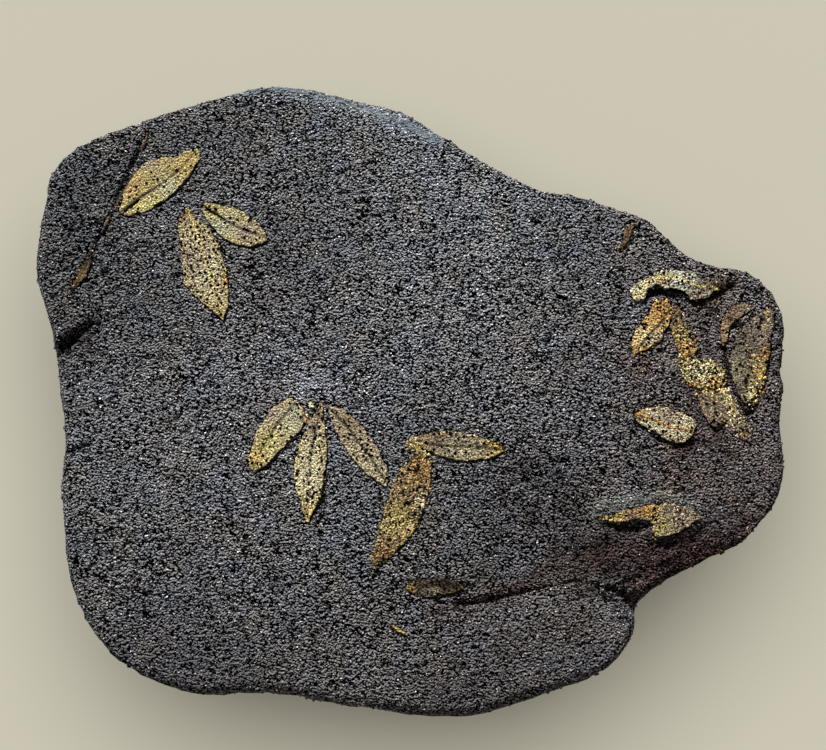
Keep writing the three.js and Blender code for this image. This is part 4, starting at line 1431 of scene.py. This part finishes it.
def make_leaves(grain):
    """The films and the dark grains on them.

    Returns each film's points, with their colours and distances to its edge.
    """
    materials = {
        "golden_leaf": film_material("film_golden", 0.62, 0.7),
        "pale_leaf": film_material("film_pale", 0.7, 0.75),
        "brown_leaf": film_material("film_brown", 0.72, 0.8),
        "twig": film_material("twig_bark", 0.75, 0.7),
    }
    slot_of = {name: slot for slot, names in SLOTS.items() for name in names}
    random = np.random.default_rng(9)
    specks = []
    films = {}
    for number, name in enumerate(LEAF_NODES):
        slot = slot_of.get(name, OTHER_SLOT)
        film = make_film(name, LEAVES[name], 100 + 50 * number, materials[slot])
        top, heights, to_edge, colors = film
        films[name] = (top, colors, to_edge)
        specks.append(speck_places(top, heights, to_edge, LEAVES[name].specks, random))
    specks = np.vstack(specks)
    radii = random.uniform(*SPECK_RADIUS, len(specks))
    specks[:, 2] += SPECK_RISE
    colors = np.tile(SPECK_COLOR, (len(specks), 1))
    add_grains("ash_specks", specks, radii, colors, random, grain)
    return films


# ---------------------------------------------------------------- crumbs of the films

CRUMB_RADIUS = (0.26, 0.5)
CRUMB_RISE = 0.05
CRUMB_SPREAD = 0.5
CRUMB_TONE = (0.2, 0.5)  # the middle and spread of how much lighter they are, as powers of e
GRIT_CRUMBS = {"from": 0.45, "share": 0.08}  # leaves grittier than this have crumbs on them
EDGE_CRUMBS = {"more": 2.5, "reach": 0.5}  # and more of them near their edges
# Crumbs that bridge the films: how many, the half width that they spread to, their line and their colours.
CRUMB_TRAILS = [
    (100, 2.6, [(84, 11), (85, 5)], (GOLD, OCHRE, BEIGE, BROWN, DARK_BROWN)),
    (80, 1.5, [(80.5, 23), (81, 14)], (ORANGE, OCHRE, BROWN, DARK_BROWN)),
    (160, 3.4, [(88, 0.5), (92, -3)], (YELLOW, PALE, OCHRE, ORANGE, BROWN)),
    (110, 1.8, [(95, -2), (98, -10)], (YELLOW, PALE, OCHRE, BROWN)),
    (120, 2.2, [(94, -9), (100, -16)], (MAUVE, BEIGE, GREY_BROWN, BROWN)),
    (90, 2.6, [(90, 31), (97, 32.5)], (GREY_BROWN, BROWN, DARK_BROWN)),
    (50, 1.2, [(107, 14), (109, 23)], (GREY_BROWN, MAUVE, GOLD)),
    (90, 2.2, [(103, 10), (106, 1), (103, -5)], (STRAW, OCHRE, ORANGE, BROWN)),
    (90, 2.0, [(1, -17.5), (5, -22)], (OCHRE, GOLD, GREY_BROWN)),
    (46, 1.2, [(-31.5, -8.6), (-30, -12)], (BROWN, DARK_BROWN, OCHRE)),
    (16, 0.6, [(-29.4, -5.7), (-29.1, -7.2)], ((196, 202, 156), (182, 184, 140))),
    (34, 0.35, [(-82, 74), (-86, 66), (-93, 51)], (BROWN, DARK_BROWN)),
    (40, 0.5, [(-96, 44), (-104, 27)], ((150, 120, 70), BROWN, DARK_BROWN)),
    (60, 1.6, [(72.5, 31), (77, 34), (85, 34)], (PALE, YELLOW, BEIGE)),
    (26, 0.9, [(56, -40.5), (62, -41.5)], (OCHRE, BROWN)),
    (14, 0.8, [(69.5, 52), (63.5, 40.5)], ((150, 120, 70), BROWN)),
]


def add_crumbs(stone_tree, film_tree, films, material):
    """Small flakes of film: in trails between the leaves, and over the gritty leaves."""
    random = np.random.default_rng(10)
    places, colors = [], []
    for count, width, path, tones in CRUMB_TRAILS:
        marks = travelled(path)
        middle = points_at(np.array(path, float), marks, random.uniform(0, marks[-1], count))
        places.append(middle + random.normal(0, 0.5 * width, middle.shape))
        picked = random.integers(0, len(tones), count)
        colors.append(FILM_SHADE * linear([tones[k] for k in picked]))
    for name, (top, tints, to_edge) in films.items():
        share = GRIT_CRUMBS["share"] * np.clip(LEAVES[name].grit - GRIT_CRUMBS["from"], 0, 1)
        share = share * (1 + EDGE_CRUMBS["more"] * np.exp(-((to_edge / EDGE_CRUMBS["reach"]) ** 2)))
        chosen = random.uniform(size=len(top)) < share
        places.append(top[chosen] + random.uniform(-CRUMB_SPREAD, CRUMB_SPREAD, (chosen.sum(), 2)))
        colors.append(tints[chosen, :3])
    places, colors = np.vstack(places), np.vstack(colors)
    on_film = drop(film_tree, places)
    heights = np.where(on_film > NO_HIT, on_film, highest_near(stone_tree, places, BED_REACH))
    heights += form_rise(places) + CRUMB_RISE
    colors = colors * np.exp(random.normal(*CRUMB_TONE, (len(colors), 1)))
    radii = random.uniform(*CRUMB_RADIUS, len(places))
    crumbs = np.column_stack([places, heights])
    add_grains("leaf_crumbs", crumbs, radii, colors, random, material)


# ---------------------------------------------------------------- putting it together


def build():
    bpy.context.scene.view_settings.view_transform = "Standard"
    add_camera()
    add_world()
    floor_group = bpy.data.collections.new("floor_group")
    floor_group.objects.link(add_floor())
    stone_tree = tree_of([STONE_NODE])
    film_tree = tree_of(LEAF_NODES)
    grain = grain_material()
    body = make_stone(stone_tree, film_tree, stone_material())
    add_face_grains(body, stone_tree, film_tree, grain)
    add_side_grains(body, grain)
    films = make_leaves(grain)
    add_crumbs(stone_tree, film_tree, films, crumb_material())
    add_sun("floor_key", FLOOR_KEY, floor_group)
    add_sun("key", KEY, OBJECT_GROUP)


build()
